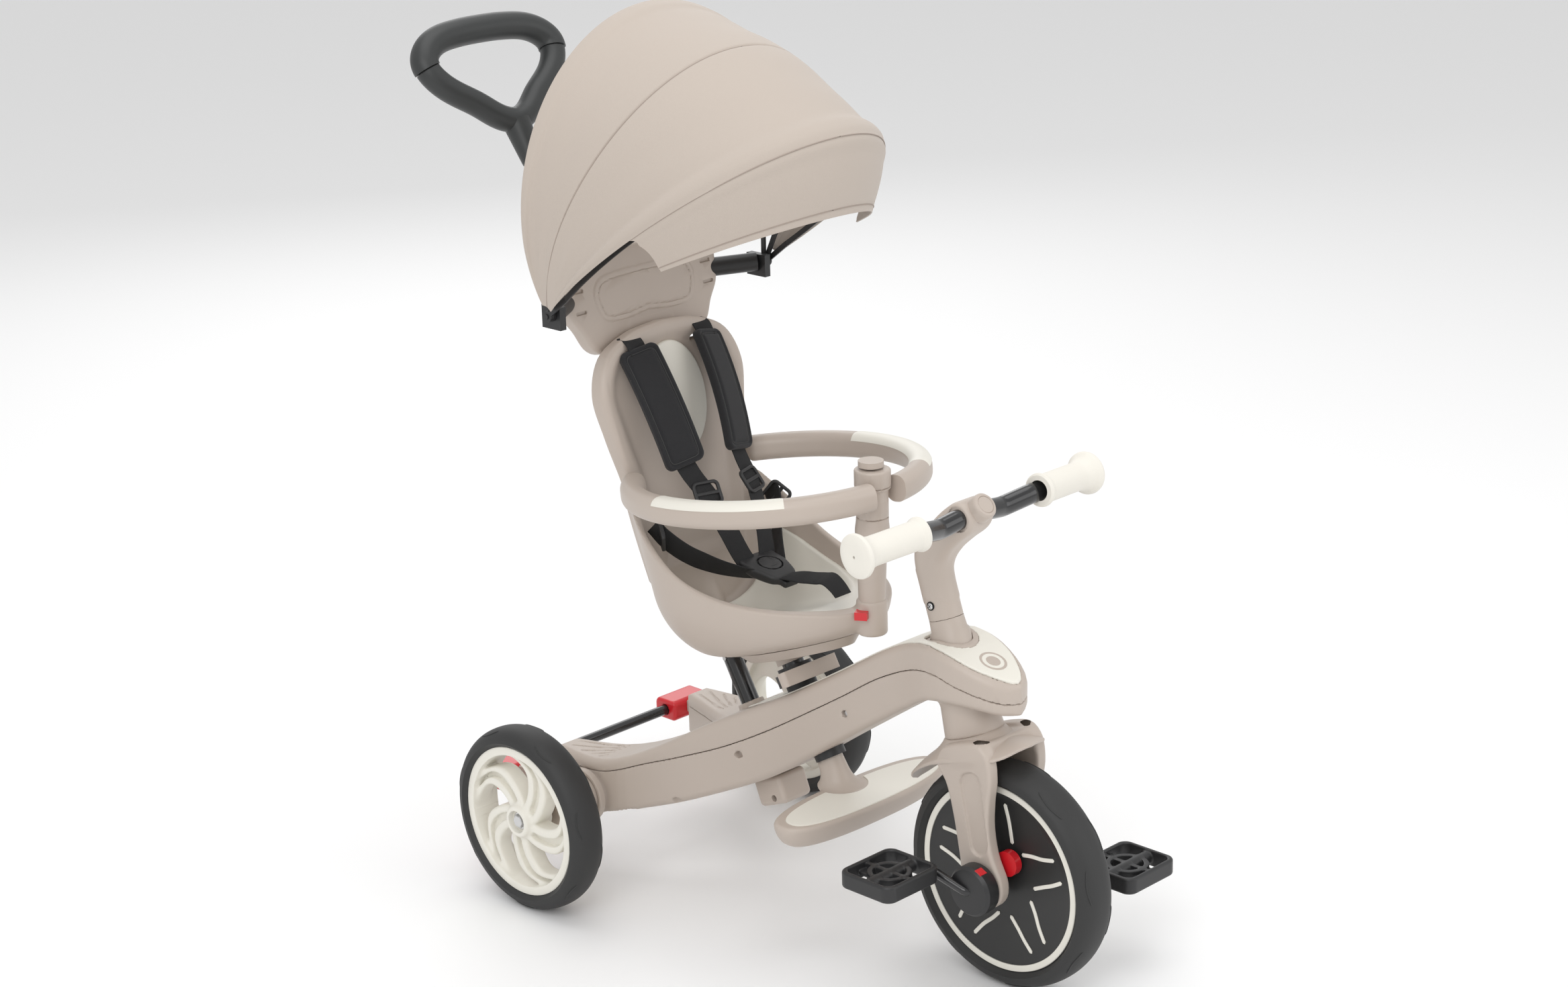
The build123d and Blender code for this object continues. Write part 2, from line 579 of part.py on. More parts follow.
def build_canopy():
    outer = loft([bow_face(REAR_BOW, REAR_SHAPE, 0, 8), bow_face(MID_BOW, MID_SHAPE, 0, 8),
                  bow_face(FRONT_BOW, FRONT_SHAPE, 0, 8)], ruled=True)
    inner = loft([bow_face(REAR_BOW - TRIM, REAR_SHAPE, CLOTH, 6), bow_face(MID_BOW, MID_SHAPE, CLOTH, 6),
                  bow_face(FRONT_BOW + TRIM, FRONT_SHAPE, CLOTH, 6)], ruled=True)
    visor = loft([bow_face(FRONT_BOW, FRONT_SHAPE, 0, 176), bow_face(HEM, HEM_SHAPE, 0, 180)])
    visor = visor - loft([bow_face(FRONT_BOW - TRIM, FRONT_SHAPE, CLOTH, 170),
                          bow_face(HEM + TRIM, HEM_SHAPE, CLOTH, 172)])
    save("canopy_cloth", (outer - inner) + visor)
    save("rear_bow", canopy_bow(REAR_BOW, REAR_SHAPE, 164.4))
    save("mid_bow", canopy_bow(MID_BOW, MID_SHAPE, 167.2))
    save("front_bow", canopy_bow(FRONT_BOW - 1, FRONT_SHAPE, 170.0))
    arm = canopy_arm(11)
    bracket = block(HINGE_X - 18, HINGE_X + 12, 154, 162.6, HINGE_Z - 16, HINGE_Z + 10)
    pin = Pos(HINGE_X, 0, HINGE_Z) * across(cylinder(3, 160, 172.5))
    save("canopy_arms", both_sides(arm + bracket + pin))


# ---- harness -----------------------------------------------------------------------------------

BUCKLE = (176.0, 0.0, 384.0)


def slab(start, end, width, thick, side=(0, 1, 0)):
    """Flat bar from start to end, its width across the given direction."""
    a, b = Vector(*start), Vector(*end)
    run = (b - a).normalized()
    across_dir = (Vector(*side) - run * run.dot(Vector(*side))).normalized()
    place = Plane(origin=(a + b) * 0.5, x_dir=across_dir, z_dir=run)
    return place.location * Box(width, thick, (b - a).length)


def build_harness():
    pad = slab((24, -52, 628), (88, -42, 506), 40, 12, side=(0, 1, 0.1))
    save("shoulder_pads", both_sides(Pos(9, 0, 2) * pad))
    shoulder = slab((106, -40, 500), (128, -30, 452), 20, 2) + slab((128, -30, 452), (158, -16, 404), 20, 2)
    lap = slab((100, -90, 430), (150, -34, 392), 20, 2, side=(0, 0, 1))
    crotch = slab((200, 0, 386), (284, 0, 392), 20, 2)
    save("harness_straps", Compound(children=[*both_sides(shoulder).solids(), *both_sides(lap).solids(),
                                              *crotch.solids()]))
    body = Pos(*BUCKLE) * Rot(Y=-SEAT_TILT) * fillet(Box(46, 48, 16).edges().filter_by(Axis.Z), 10)
    hole = Pos(*BUCKLE) * Rot(Y=-SEAT_TILT) * cylinder(13 + GAP, 3, 20)
    save("buckle", body - hole)
    save("buckle_button", Pos(*BUCKLE) * Rot(Y=-SEAT_TILT) * cylinder(13, 4, 9.5))
    slider = slab((114, -37, 484), (122, -33, 464), 27, 7) - slab((106, -40, 500), (128, -30, 452), 21, 3)
    lap_slider = slab((106, -84, 426), (114, -75, 420), 27, 7, side=(0, 0, 1))
    lap_slider = lap_slider - slab((100, -90, 430), (150, -34, 392), 21, 3, side=(0, 0, 1))
    save("strap_adjusters", Compound(children=[*both_sides(slider).solids(), *both_sides(lap_slider).solids()]))


# ---- guard ring --------------------------------------------------------------------------------

RING_X = 191.3
RING_LONG = 163.8
RING_WIDE = 158.1
RING_TILT = 5.7
RING_FRONT_Z = 515.3
RING_TUBE = (26.0, 30.0)   # across and high
ARM_BACK = 141.0         # where an arm ends, degrees round the ring from the front


def ring_place():
    tilt = radians(RING_TILT)
    z = RING_FRONT_Z + (RING_X - 340) * tan(tilt)
    return Plane(origin=(RING_X, 0, z), x_dir=(cos(tilt), 0, sin(tilt)), z_dir=(-sin(tilt), 0, cos(tilt)))


def arm_end():
    """Pivot of the left arm in the plane of the ring."""
    return RING_LONG * cos(radians(ARM_BACK)), RING_WIDE * sin(radians(ARM_BACK))


def guard_arm():
    """Left half of the ring, from the front post back to its pivot beside the seat back."""
    front = degrees(atan2(22, RING_LONG))
    arc = EllipticalCenterArc((0, 0), RING_LONG, RING_WIDE, start_angle=front, arc_size=ARM_BACK - 3 - front)
    start = Plane(origin=arc @ 0, z_dir=arc % 0, x_dir=(0, 0, 1))
    bar = sweep(start * RectangleRounded(RING_TUBE[1], RING_TUBE[0], 12), path=arc)
    lug = Pos(*arm_end()) * cylinder(13, -15, 15)
    return ring_place().location * (bar + lug - Pos(*arm_end()) * cylinder(4 + RUNNING, -20, 20))


def arm_pivot():
    """Ear and pin on the left of the seat back that carry an arm."""
    ear = Pos(*arm_end()) * (cylinder(11, -22, -15.4) + cylinder(4, -16, 11))
    arm = Pos(arm_end()[0] - 8, arm_end()[1] - 12, -18.7) * Box(34, 26, 6.6)
    return ring_place().location * (ear + arm)


def build_guard():
    arm = guard_arm()
    save("guard_arm_left", arm)
    save("guard_arm_right", mirror(arm, Plane.XZ))
    post = loft([Pos(336, 0, z) * Ellipse(a, b) for z, a, b in
                 ((392, 13, 13), (430, 15, 14), (475, 17, 15), (530, 17, 15))])
    head = Pos(336, 0, 0) * cylinder(20, 528, 548)
    save("guard_post", post + head - Pos(336, 0, 0) * cylinder(14 + GAP, 543, 560))
    save("guard_button", Pos(336, 0, 0) * cylinder(14, 543.5, 550))
    save("release_button", release_button())


# ---- footrest ----------------------------------------------------------------------------------

def build_footrest():
    """Cross bar for both feet on a socket that plugs onto the lower end of the post socket."""
    outline = Pos(314, 0) * Rot(Z=90) * SlotOverall(262, 84)
    inner = Pos(314, 0) * Rot(Z=90) * SlotOverall(246, 68)
    shell = Pos(0, 0, 131) * extrude(outline, 28) - Pos(0, 0, 128) * extrude(inner, 24)
    tray = Pos(0, 0, 155) * extrude(inner, 9)
    stalk = loft([Pos(288, 0, 154) * Ellipse(30, 26), Pos(282, 0, 164) * Ellipse(19, 18),
                  POST * Pos(0, 0, -98.4) * Circle(15)])
    plug = POST * cylinder(POST_R, -98.5, -90)
    save("footrest_rim", shell - tray + stalk + plug)
    save("footrest_top", Pos(0, 0, 155) * extrude(inner, 4) - stalk)


# ---- push handle -------------------------------------------------------------------------------

def loop_half():
    """Left half of the loop's centre line, in the plane of the pole: x sideways, y along the pole."""
    return Spline((0, 36), (44, 62), (84, 94), (95, 122), (75, 143), (40, 151), (0, 152.5),
                  tangents=((1, 0.1), (-1, 0)))


def loop_sweep(radius, start_at, end_at):
    line = loop_half().trim(start_at, end_at)
    begin = Plane(origin=line @ 0, z_dir=line % 0)
    return sweep(begin * Circle(radius), path=line)


def build_handle():
    """Telescopic upper pole and the loop handle in its plane."""
    save("handle_pole", POLE * cylinder(POLE_INNER_R, 110, POLE_REACH + 22))
    grip_from = 0.52
    arms = loop_sweep(15, 0, grip_from) + loop_sweep(10, grip_from, 1)
    arms = arms + mirror(arms, Plane.YZ)
    up = POLE * Pos(0, 0, POLE_REACH)
    turn = Rot(Z=90) * Rot(X=90)
    stem = POLE * (Pos(0, 0, POLE_REACH + 8) * Cone(12, 17, 52) - cylinder(POLE_INNER_R, 100, POLE_REACH + 22))
    loop = up * turn * arms
    hollow = POLE * cylinder(POLE_INNER_R, 100, POLE_REACH + 22)
    save("handle_loop", stem + loop - hollow)
    grip = loop_sweep(16.5, grip_from + 0.005, 1) - loop_sweep(10, grip_from - 0.05, 1)
    save("handle_grip", up * turn * (grip + mirror(grip, Plane.YZ)))


os.makedirs("parts", exist_ok=True)
build_frame()
build_frame_fittings()
build_clamp()
build_brake()
build_rear_wheels()
build_front_wheel()
build_cranks()
build_pedals()
build_fork()
build_neck()
build_seat()
build_headrest()
build_canopy()
build_harness()
build_guard()
build_footrest()
build_handle()
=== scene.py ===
from math import asin, atan2, cos, degrees, hypot, pi, radians, sin, sqrt, tan

import bpy
import numpy as np
from mathutils import Matrix, Vector


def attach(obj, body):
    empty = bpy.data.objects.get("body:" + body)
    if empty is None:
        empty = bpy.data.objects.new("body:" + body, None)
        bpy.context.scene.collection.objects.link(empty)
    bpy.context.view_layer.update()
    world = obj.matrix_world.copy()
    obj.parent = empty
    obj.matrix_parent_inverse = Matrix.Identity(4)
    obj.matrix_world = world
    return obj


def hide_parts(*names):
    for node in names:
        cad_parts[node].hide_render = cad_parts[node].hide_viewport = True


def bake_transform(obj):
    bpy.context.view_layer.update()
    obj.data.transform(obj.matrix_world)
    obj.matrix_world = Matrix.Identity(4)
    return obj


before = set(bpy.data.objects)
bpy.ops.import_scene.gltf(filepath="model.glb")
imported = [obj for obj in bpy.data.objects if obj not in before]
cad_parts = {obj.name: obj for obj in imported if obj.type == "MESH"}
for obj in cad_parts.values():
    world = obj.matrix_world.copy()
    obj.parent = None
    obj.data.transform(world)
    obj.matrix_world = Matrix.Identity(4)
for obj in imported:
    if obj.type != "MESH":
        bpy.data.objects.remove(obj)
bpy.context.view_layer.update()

# All sizes below are millimetres in a frame whose X = 0 is the rear axle and Z = 0 the floor.
# build() moves them to the CAD frame, whose origin is under the middle of the length.
MID_X = 179.8
RAKE = radians(18.2)          # steering axis, back from vertical
LEAN = radians(29.8)          # seat post and push pole
TILT = radians(19.0)          # bucket seat
BACK = radians(11.6)          # seat back
RING = radians(5.7)           # guard ring
HUB = (531.0, 127.0)
REAR_R = 108.75
TRACK = 221.7
HINGE = (15.4, 690.6)


# ---- materials ---------------------------------------------------------------------------------

def material(name, colour, rough, bump=0.0, scale=900.0, coat=0.0, sheen=0.0, weave=False, mottled=0.0):
    """Principled material; bump is the height of its grain in metres."""
    m = bpy.data.materials.new(name)
    m.use_nodes = True
    nodes, links = m.node_tree.nodes, m.node_tree.links
    shader = nodes["Principled BSDF"]
    shader.inputs["Base Color"].default_value = (*colour, 1)
    shader.inputs["Roughness"].default_value = rough
    shader.inputs["Coat Weight"].default_value = coat
    shader.inputs["Sheen Weight"].default_value = sheen
    if bump or mottled:
        where = nodes.new("ShaderNodeTexCoord")
    if mottled:
        cloud = nodes.new("ShaderNodeTexNoise")
        cloud.inputs["Scale"].default_value = 14.0
        links.new(where.outputs["Object"], cloud.inputs["Vector"])
        ramp = nodes.new("ShaderNodeMixRGB")
        ramp.inputs["Color1"].default_value = (*[c * (1 - mottled) for c in colour], 1)
        ramp.inputs["Color2"].default_value = (*[min(1, c * (1 + mottled)) for c in colour], 1)
        links.new(cloud.outputs["Fac"], ramp.inputs["Fac"])
        links.new(ramp.outputs["Color"], shader.inputs["Base Color"])
    if bump:
        if weave:
            grain = nodes.new("ShaderNodeTexVoronoi")
            grain.distance = "CHEBYCHEV"
        else:
            grain = nodes.new("ShaderNodeTexNoise")
        grain.inputs["Scale"].default_value = scale
        links.new(where.outputs["Object"], grain.inputs["Vector"])
        height = nodes.new("ShaderNodeBump")
        height.inputs["Distance"].default_value = bump
        height.inputs["Strength"].default_value = 0.86
        links.new(grain.outputs["Distance" if weave else "Fac"], height.inputs["Height"])
        links.new(height.outputs["Normal"], shader.inputs["Normal"])
    return m


TAUPE = material("taupe plastic", (0.50, 0.43, 0.375), 0.42, bump=0.00006, scale=1600, mottled=0.015)
CREAM = material("cream plastic", (0.80, 0.775, 0.70), 0.42, bump=0.00004, scale=1600)
SOFT_CREAM = material("cream rubber", (0.80, 0.77, 0.70), 0.55, bump=0.00006, scale=1200)
BLACK = material("black plastic", (0.022, 0.022, 0.023), 0.42, bump=0.00006, scale=1500)
DISC = material("black disc plastic", (0.02, 0.02, 0.02), 0.38, bump=0.00005, scale=1500)
RED = material("red plastic", (0.62, 0.012, 0.02), 0.3, coat=0.2)
TYRE = material("foam tyre", (0.026, 0.026, 0.026), 0.6, bump=0.00008, scale=1100)
HANDLE = material("black handle plastic", (0.03, 0.032, 0.032), 0.45, bump=0.00008, scale=1400)
STEEL = material("black painted steel", (0.014, 0.014, 0.015), 0.22, coat=0.4)
BRIGHT = material("bright steel", (0.62, 0.62, 0.62), 0.28)
BRIGHT.node_tree.nodes["Principled BSDF"].inputs["Metallic"].default_value = 1.0
CLOTH = material("taupe canopy cloth", (0.50, 0.435, 0.38), 0.85, bump=0.00016, scale=1500, sheen=0.15, weave=True)
# Painted shade: a darker copy of the canopy cloth for its shadowed edges.
SHADED_CLOTH = material("shadowed cloth edge", (0.40, 0.33, 0.28), 0.9)
PADDING = material("black padding", (0.014, 0.014, 0.016), 0.85, bump=0.0002, scale=1300, sheen=0.1, weave=True)
WEB = material("black webbing", (0.013, 0.013, 0.014), 0.8, bump=0.0003, scale=900, weave=True)
THREAD = material("thread", (0.36, 0.30, 0.26), 0.8)
DARK_THREAD = material("dark thread", (0.05, 0.05, 0.05), 0.8)
# Painted shade: near-black colour for recesses, the cross slots of screws and the gap round a screw head.
RECESS_SHADE = material("painted recess shade", (0.01, 0.01, 0.01), 0.8)


# ---- meshes ------------------------------------------------------------------------------------

def build(name, verts, faces, paint, body, stands_for=(), sharp=35.0):
    """Mesh from millimetre vertices, shaded smooth below the sharp angle, riding on a CAD body."""
    verts = (np.asarray(verts, float) - (MID_X, 0, 0)) / 1000
    mesh = bpy.data.meshes.new(name)
    mesh.from_pydata(verts.tolist(), [], [list(map(int, f)) for f in faces])
    mesh.validate()
    mesh.materials.append(paint)
    obj = bpy.data.objects.new(name.replace(" ", "_"), mesh)
    bpy.context.scene.collection.objects.link(obj)
    mesh.polygons.foreach_set("use_smooth", [True] * len(mesh.polygons))
    mesh.set_sharp_from_angle(angle=radians(sharp))
    if body:
        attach(obj, body)
    if stands_for:
        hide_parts(*stands_for)
    return obj


def grid_faces(nu, nv, closed_u=False, closed_v=False):
    iu, iv = np.arange(nu if closed_u else nu - 1), np.arange(nv if closed_v else nv - 1)
    a, b = np.meshgrid(iu, iv, indexing="ij")
    a2, b2 = (a + 1) % nu, (b + 1) % nv
    return np.stack([a * nv + b, a2 * nv + b, a2 * nv + b2, a * nv + b2], -1).reshape(-1, 4)


def flip(faces):
    return [list(f)[::-1] for f in faces]


def sweep(name, path, section, paint, body, side=(0, 1, 0), ends=True, closed=False, scale=None, **more):
    """Sweep a closed 2-D section [(a, b)] along a path; a runs along side, b across it."""
    path = np.asarray(path, float)
    section = np.asarray(section, float)
    if closed:
        tangent = np.roll(path, -1, 0) - np.roll(path, 1, 0)
    else:
        tangent = np.gradient(path, axis=0)
    tangent /= np.linalg.norm(tangent, axis=1)[:, None]
    side = np.broadcast_to(np.asarray(side, float), path.shape)
    across = side - tangent * np.sum(side * tangent, 1)[:, None]
    across /= np.linalg.norm(across, axis=1)[:, None]
    up = np.cross(tangent, across)
    size = np.ones(len(path)) if scale is None else np.asarray(scale, float)
    verts = (path[:, None] + size[:, None, None] * (across[:, None] * section[None, :, :1] + up[:, None] * section[None, :, 1:]))
    n, m = verts.shape[:2]
    verts = verts.reshape(-1, 3)
    faces = [list(f) for f in grid_faces(n, m, closed, True)]
    if ends and not closed:
        faces += [list(range(m)), list(range((n - 1) * m, n * m))[::-1]]
    return build(name, verts, flip(faces), paint, body, **more)


def round_section(radius, count=24):
    t = np.linspace(0, 2 * pi, count, endpoint=False)
    return np.stack([radius * np.cos(t), radius * np.sin(t)], 1)


def oblong_section(width, height, radius, count=6):
    """Rounded rectangle as a closed section."""
    points = []
    for cx, cy, start in ((1, 1, 0), (-1, 1, 90), (-1, -1, 180), (1, -1, 270)):
        for k in range(count + 1):
            a = radians(start + 90 * k / count)
            points.append((cx * (width / 2 - radius) + radius * cos(a), cy * (height / 2 - radius) + radius * sin(a)))
    return np.array(points)


def curve(points, count, closed=False):
    """Centripetal Catmull-Rom curve through points, evenly spaced along its length."""
    p = np.asarray(points, float)
    if closed:
        p = np.vstack([p[-1], p, p[0], p[1]])
    else:
        p = np.vstack([2 * p[0] - p[1], p, 2 * p[-1] - p[-2]])
    knots = np.concatenate([[0], np.cumsum(np.maximum(np.linalg.norm(np.diff(p, axis=0), axis=1), 1e-6) ** 0.5)])
    out = []
    for i in range(1, len(p) - 2):
        t = np.linspace(knots[i], knots[i + 1], 30, endpoint=False)[:, None]
        t0, t1, t2, t3 = knots[i - 1:i + 3]
        a1 = (t1 - t) / (t1 - t0) * p[i - 1] + (t - t0) / (t1 - t0) * p[i]
        a2 = (t2 - t) / (t2 - t1) * p[i] + (t - t1) / (t2 - t1) * p[i + 1]
        a3 = (t3 - t) / (t3 - t2) * p[i + 1] + (t - t2) / (t3 - t2) * p[i + 2]
        b1 = (t2 - t) / (t2 - t0) * a1 + (t - t0) / (t2 - t0) * a2
        b2 = (t3 - t) / (t3 - t1) * a2 + (t - t1) / (t3 - t1) * a3
        out.append((t2 - t) / (t2 - t1) * b1 + (t - t1) / (t2 - t1) * b2)
    dense = np.vstack(out + [p[-2][None]])
    run = np.concatenate([[0], np.cumsum(np.linalg.norm(np.diff(dense, axis=0), axis=1))])
    want = np.linspace(0, run[-1], count + (1 if closed else 0))[:count]
    return np.stack([np.interp(want, run, dense[:, k]) for k in range(p.shape[1])], 1)


def lathe(name, profile, place, paint, body, count=96, **more):
    """Revolve (radius, z) corners about the local Z axis of place."""
    t = np.linspace(0, 2 * pi, count, endpoint=False)
    profile = np.asarray(profile, float)
    ring = np.stack([np.cos(t), np.sin(t)], 1)
    verts = np.empty((count, len(profile), 3))
    verts[..., :2] = ring[:, None] * profile[None, :, :1]
    verts[..., 2] = profile[None, :, 1]
    verts = place(verts.reshape(-1, 3))
    keep = profile[:, 0] > 1e-6
    faces = grid_faces(count, len(profile), True, False)
    obj = build(name, verts, faces, paint, body, **more)
    weld(obj)
    return obj


def weld(obj, distance=1e-6):
    import bmesh
    bm = bmesh.new()
    bm.from_mesh(obj.data)
    bmesh.ops.remove_doubles(bm, verts=bm.verts, dist=distance)
    bmesh.ops.dissolve_degenerate(bm, edges=bm.edges, dist=distance)
    bmesh.ops.recalc_face_normals(bm, faces=bm.faces)
    bm.to_mesh(obj.data)
    bm.free()


def placed(origin, x_dir, z_dir):
    """Function that takes points from a local frame to the millimetre frame."""
    z = np.asarray(z_dir, float) / np.linalg.norm(z_dir)
    x = np.asarray(x_dir, float)
    x = x - z * (x @ z)
    x /= np.linalg.norm(x)
    basis = np.stack([x, np.cross(z, x), z])
    return lambda p: np.asarray(p, float) @ basis + np.asarray(origin, float)


def along_y(x, z, y=0.0, side=1):
    """Frame at (x, y, z) whose local Z points to +Y, or to -Y where side is -1."""
    return placed((x, y, z), (1, 0, 0), (0, side, 0))


STEER = placed((HUB[0], 0, HUB[1]), (cos(RAKE), 0, sin(RAKE)), (-sin(RAKE), 0, cos(RAKE)))
POST = placed((218.6, 0, 271.5), (cos(LEAN), 0, sin(LEAN)), (-sin(LEAN), 0, cos(LEAN)))
POLE = placed((142.3, 0, 215.2), (cos(LEAN), 0, sin(LEAN)), (-sin(LEAN), 0, cos(LEAN)))


# ---- implicit solids ---------------------------------------------------------------------------

def solid(name, field, low, high, step, paint, body, keep=1.0, **more):
    """Mesh the surface where field(x, y, z) = 0, inside the box low-high, on a grid of step mm."""
    axes = [np.arange(a - 2 * step, b + 2.5 * step, step) for a, b in zip(low, high)]
    x, y, z = axes[0][:, None, None], axes[1][None, :, None], axes[2][None, None, :]
    f = np.broadcast_to(field(x, y, z), [len(a) for a in axes]).astype(np.float32)
    inside = f < 0
    corners = [(i, j, k) for i in (0, 1) for j in (0, 1) for k in (0, 1)]
    size = [n - 1 for n in f.shape]

    def shifted(a, c):
        return a[c[0]:c[0] + size[0], c[1]:c[1] + size[1], c[2]:c[2] + size[2]]

    some = np.zeros(size, bool)
    every = np.ones(size, bool)
    for c in corners:
        some |= shifted(inside, c)
        every &= shifted(inside, c)
    mixed = some & ~every
    cell = np.argwhere(mixed)
    total = np.zeros((len(cell), 3))
    count = np.zeros(len(cell))
    for a in corners:
        for k in range(3):
            if a[k]:
                continue
            b = tuple(v + (i == k) for i, v in enumerate(a))
            fa = f[tuple((cell + a).T)].astype(float)
            fb = f[tuple((cell + b).T)].astype(float)
            cross = (fa < 0) != (fb < 0)
            t = np.where(cross, fa / np.where(fa == fb, 1, fa - fb), 0)
            point = np.array(a, float) + t[:, None] * (np.array(b, float) - np.array(a, float))
            total += np.where(cross[:, None], point, 0)
            count += cross
    origin = np.array([a[0] for a in axes])
    verts = origin + (cell + total / count[:, None]) * step

    def value(p):
        return np.asarray(field(p[:, 0], p[:, 1], p[:, 2]), float)

    for _ in range(2):
        h = 0.15 * step
        here = value(verts)
        slope = np.stack([(value(verts + h * e) - value(verts - h * e)) / (2 * h) for e in np.eye(3)], 1)
        size2 = np.maximum((slope ** 2).sum(1), 0.05)
        move = -(here / size2)[:, None] * slope
        length = np.linalg.norm(move, axis=1)[:, None]
        verts = verts + move * np.minimum(1, 0.35 * step / np.maximum(length, 1e-9))
    number = -np.ones(mixed.shape, int)
    number[tuple(cell.T)] = np.arange(len(cell))
    faces = []
    for k in range(3):
        i, j = (k + 1) % 3, (k + 2) % 3
        lo = [slice(None)] * 3
        hi = [slice(None)] * 3
        lo[k], hi[k] = slice(0, -1), slice(1, None)
        change = inside[tuple(lo)] != inside[tuple(hi)]
        edge = np.argwhere(change)
        ok = (edge[:, i] > 0) & (edge[:, j] > 0) & (edge[:, i] < size[i]) & (edge[:, j] < size[j])
        edge = edge[ok]
        start_inside = inside[tuple(edge.T)]
        quad = []
        for di, dj in ((1, 1), (0, 1), (0, 0), (1, 0)):
            c = edge.copy()
            c[:, i] -= di
            c[:, j] -= dj
            quad.append(number[tuple(c.T)])
        quad = np.stack(quad, 1)
        quad[~start_inside] = quad[~start_inside][:, ::-1]
        faces.append(quad)
    faces = np.vstack(faces)
    obj = build(name, verts, faces, paint, body, **more)
    if keep < 1:
        thin(obj, keep)
    return obj


def thin(obj, ratio):
    """Reduce the mesh where it is nearly flat."""
    modifier = obj.modifiers.new("thin", "DECIMATE")
    modifier.ratio = ratio
    graph = bpy.context.evaluated_depsgraph_get()
    mesh = bpy.data.meshes.new_from_object(obj.evaluated_get(graph))
    obj.modifiers.clear()
    obj.data = mesh


def both(a, b, r=0.01):
    """Where both solids are, the shared edge rounded by r."""
    return np.minimum(np.maximum(a + r, b + r), 0) + np.hypot(np.maximum(a + r, 0), np.maximum(b + r, 0)) - r


def either(a, b, r=0.01):
    """Either solid, the inner corner filled by a fillet of about r."""
    h = np.maximum(r - np.abs(a - b), 0) / r
    return np.minimum(a, b) - h * h * r / 4


def without(a, b, r=0.01):
    return both(a, -b, r)


def outline(points):
    """Signed distance to a closed polygon."""
    a = np.asarray(points, float)
    b = np.roll(a, -1, 0)

    def field(x, y):
        shape = np.broadcast_shapes(np.shape(x), np.shape(y))
        best = np.full(shape, 1e12)
        within = np.zeros(shape, bool)
        for (ax, ay), (bx, by) in zip(a, b):
            ex, ey = bx - ax, by - ay
            if ex * ex + ey * ey < 1e-9:
                continue
            t = np.clip(((x - ax) * ex + (y - ay) * ey) / (ex * ex + ey * ey), 0, 1)
            best = np.minimum(best, (x - ax - t * ex) ** 2 + (y - ay - t * ey) ** 2)
            if ey:
                within ^= ((ay > y) != (by > y)) & (x < ax + (y - ay) * ex / ey)
        return np.where(within, -1, 1) * np.sqrt(best)

    return field


def oblong(x, y, width, height, r):
    """Rounded rectangle in two dimensions."""
    qx, qy = np.abs(x) - width / 2 + r, np.abs(y) - height / 2 + r
    return np.hypot(np.maximum(qx, 0), np.maximum(qy, 0)) + np.minimum(np.maximum(qx, qy), 0) - r


def drum(x, y, z, radius, low, high, r=1.0):
    """Upright cylinder."""
    return both(np.hypot(x, y) - radius, np.abs(z - (low + high) / 2) - (high - low) / 2, r)


def capsule(x, y, z, a, b, ra, rb):
    """Round bar from a to b whose radius goes from ra to rb."""
    a, b = np.asarray(a, float), np.asarray(b, float)
    d = b - a
    t = np.clip(((x - a[0]) * d[0] + (y - a[1]) * d[1] + (z - a[2]) * d[2]) / (d @ d), 0, 1)
    return np.sqrt((x - a[0] - t * d[0]) ** 2 + (y - a[1] - t * d[1]) ** 2 + (z - a[2] - t * d[2]) ** 2) - (ra + t * (rb - ra))


def steer_xyz(x, y, z):
    """(forward, sideways, up the axis) in the steering frame."""
    dx, dz = x - HUB[0], z - HUB[1]
    return dx * cos(RAKE) + dz * sin(RAKE), y, -dx * sin(RAKE) + dz * cos(RAKE)


def lean_xyz(x, y, z, x0, z0):
    dx, dz = x - x0, z - z0
    return dx * cos(LEAN) + dz * sin(LEAN), y, -dx * sin(LEAN) + dz * cos(LEAN)


def coarse(fine):
    """Grid step, returned unchanged."""
    return fine


# ---- frame -------------------------------------------------------------------------------------

TOP = [(-66, 149), (10, 153), (50, 164), (88, 182), (142, 215), (230, 261), (304, 305), (380, 352),
       (420, 371), (446, 377), (475, 373), (550, 345)]
PARTING = [(-80, 133), (20, 141), (77, 160), (117, 173), (157, 188), (203, 212), (259, 246), (318, 283),
           (378, 321), (433, 345), (462, 348), (493, 340), (560, 320)]
UNDER = [(-66, 98), (0, 84), (68, 101), (106, 112), (136, 123), (202, 153), (305, 222), (407, 290),
         (450, 314), (500, 318), (550, 308)]
OUTER = [(-66, 124), (-20, 129), (20, 130), (50, 125), (75, 112), (105, 95), (135, 76), (170, 56), (210, 42),
         (260, 36), (400, 35), (450, 43), (480, 44), (515, 35), (538, 20), (549, 0)]
INNER = [(88, 0), (80, 12), (62, 28), (40, 45), (11, 61), (-17, 73), (-66, 89)]


BADGE_X = 508.0


def outline_of_frame():
    outer = curve(OUTER, 60)
    inner = curve(INNER, 24)
    return outline(np.vstack([inner, outer, [(549, -40), (88, -40)]]))


FRAME_PLAN = outline_of_frame()
FRAME_SIDE = outline(np.vstack([curve(TOP, 40), curve(UNDER, 40)[::-1]]))
PART_X, PART_Z = curve(PARTING, 80).T


def frame_field(x, y, z):
    body = both(FRAME_PLAN(x, np.abs(y)), FRAME_SIDE(x, z), 9)
    lx, ly, s = steer_xyz(x, y, z)
    head = both(np.hypot(lx, ly) - (27 + np.clip(215 - s, 0, 60) * 0.1), np.abs(s - 190) - 33, 2)
    body = either(body, head, 14)
    boss = both(np.hypot(x, z - REAR_R) - 27 + np.clip(np.abs(y) - 130, 0, 70) * 0.045, np.abs(np.abs(y) - 150) - 46, 1.5)
    return either(body, boss, 5)


def frame_cuts(f, x, y, z):
    lx, ly, s = steer_xyz(x, y, z)
    f = without(f, both(np.hypot(lx, ly) - 22.2, 150 - s), 0.5)
    px, py, ps = lean_xyz(x, y, z, 218.6, 271.5)
    f = without(f, np.hypot(px, py) - 18.3, 0.8)
    qx, qy, qs = lean_xyz(x, y, z, 142.3, 215.2)
    return without(f, both(np.hypot(qx, qy) - 15.5, -30 - qs), 0.8)


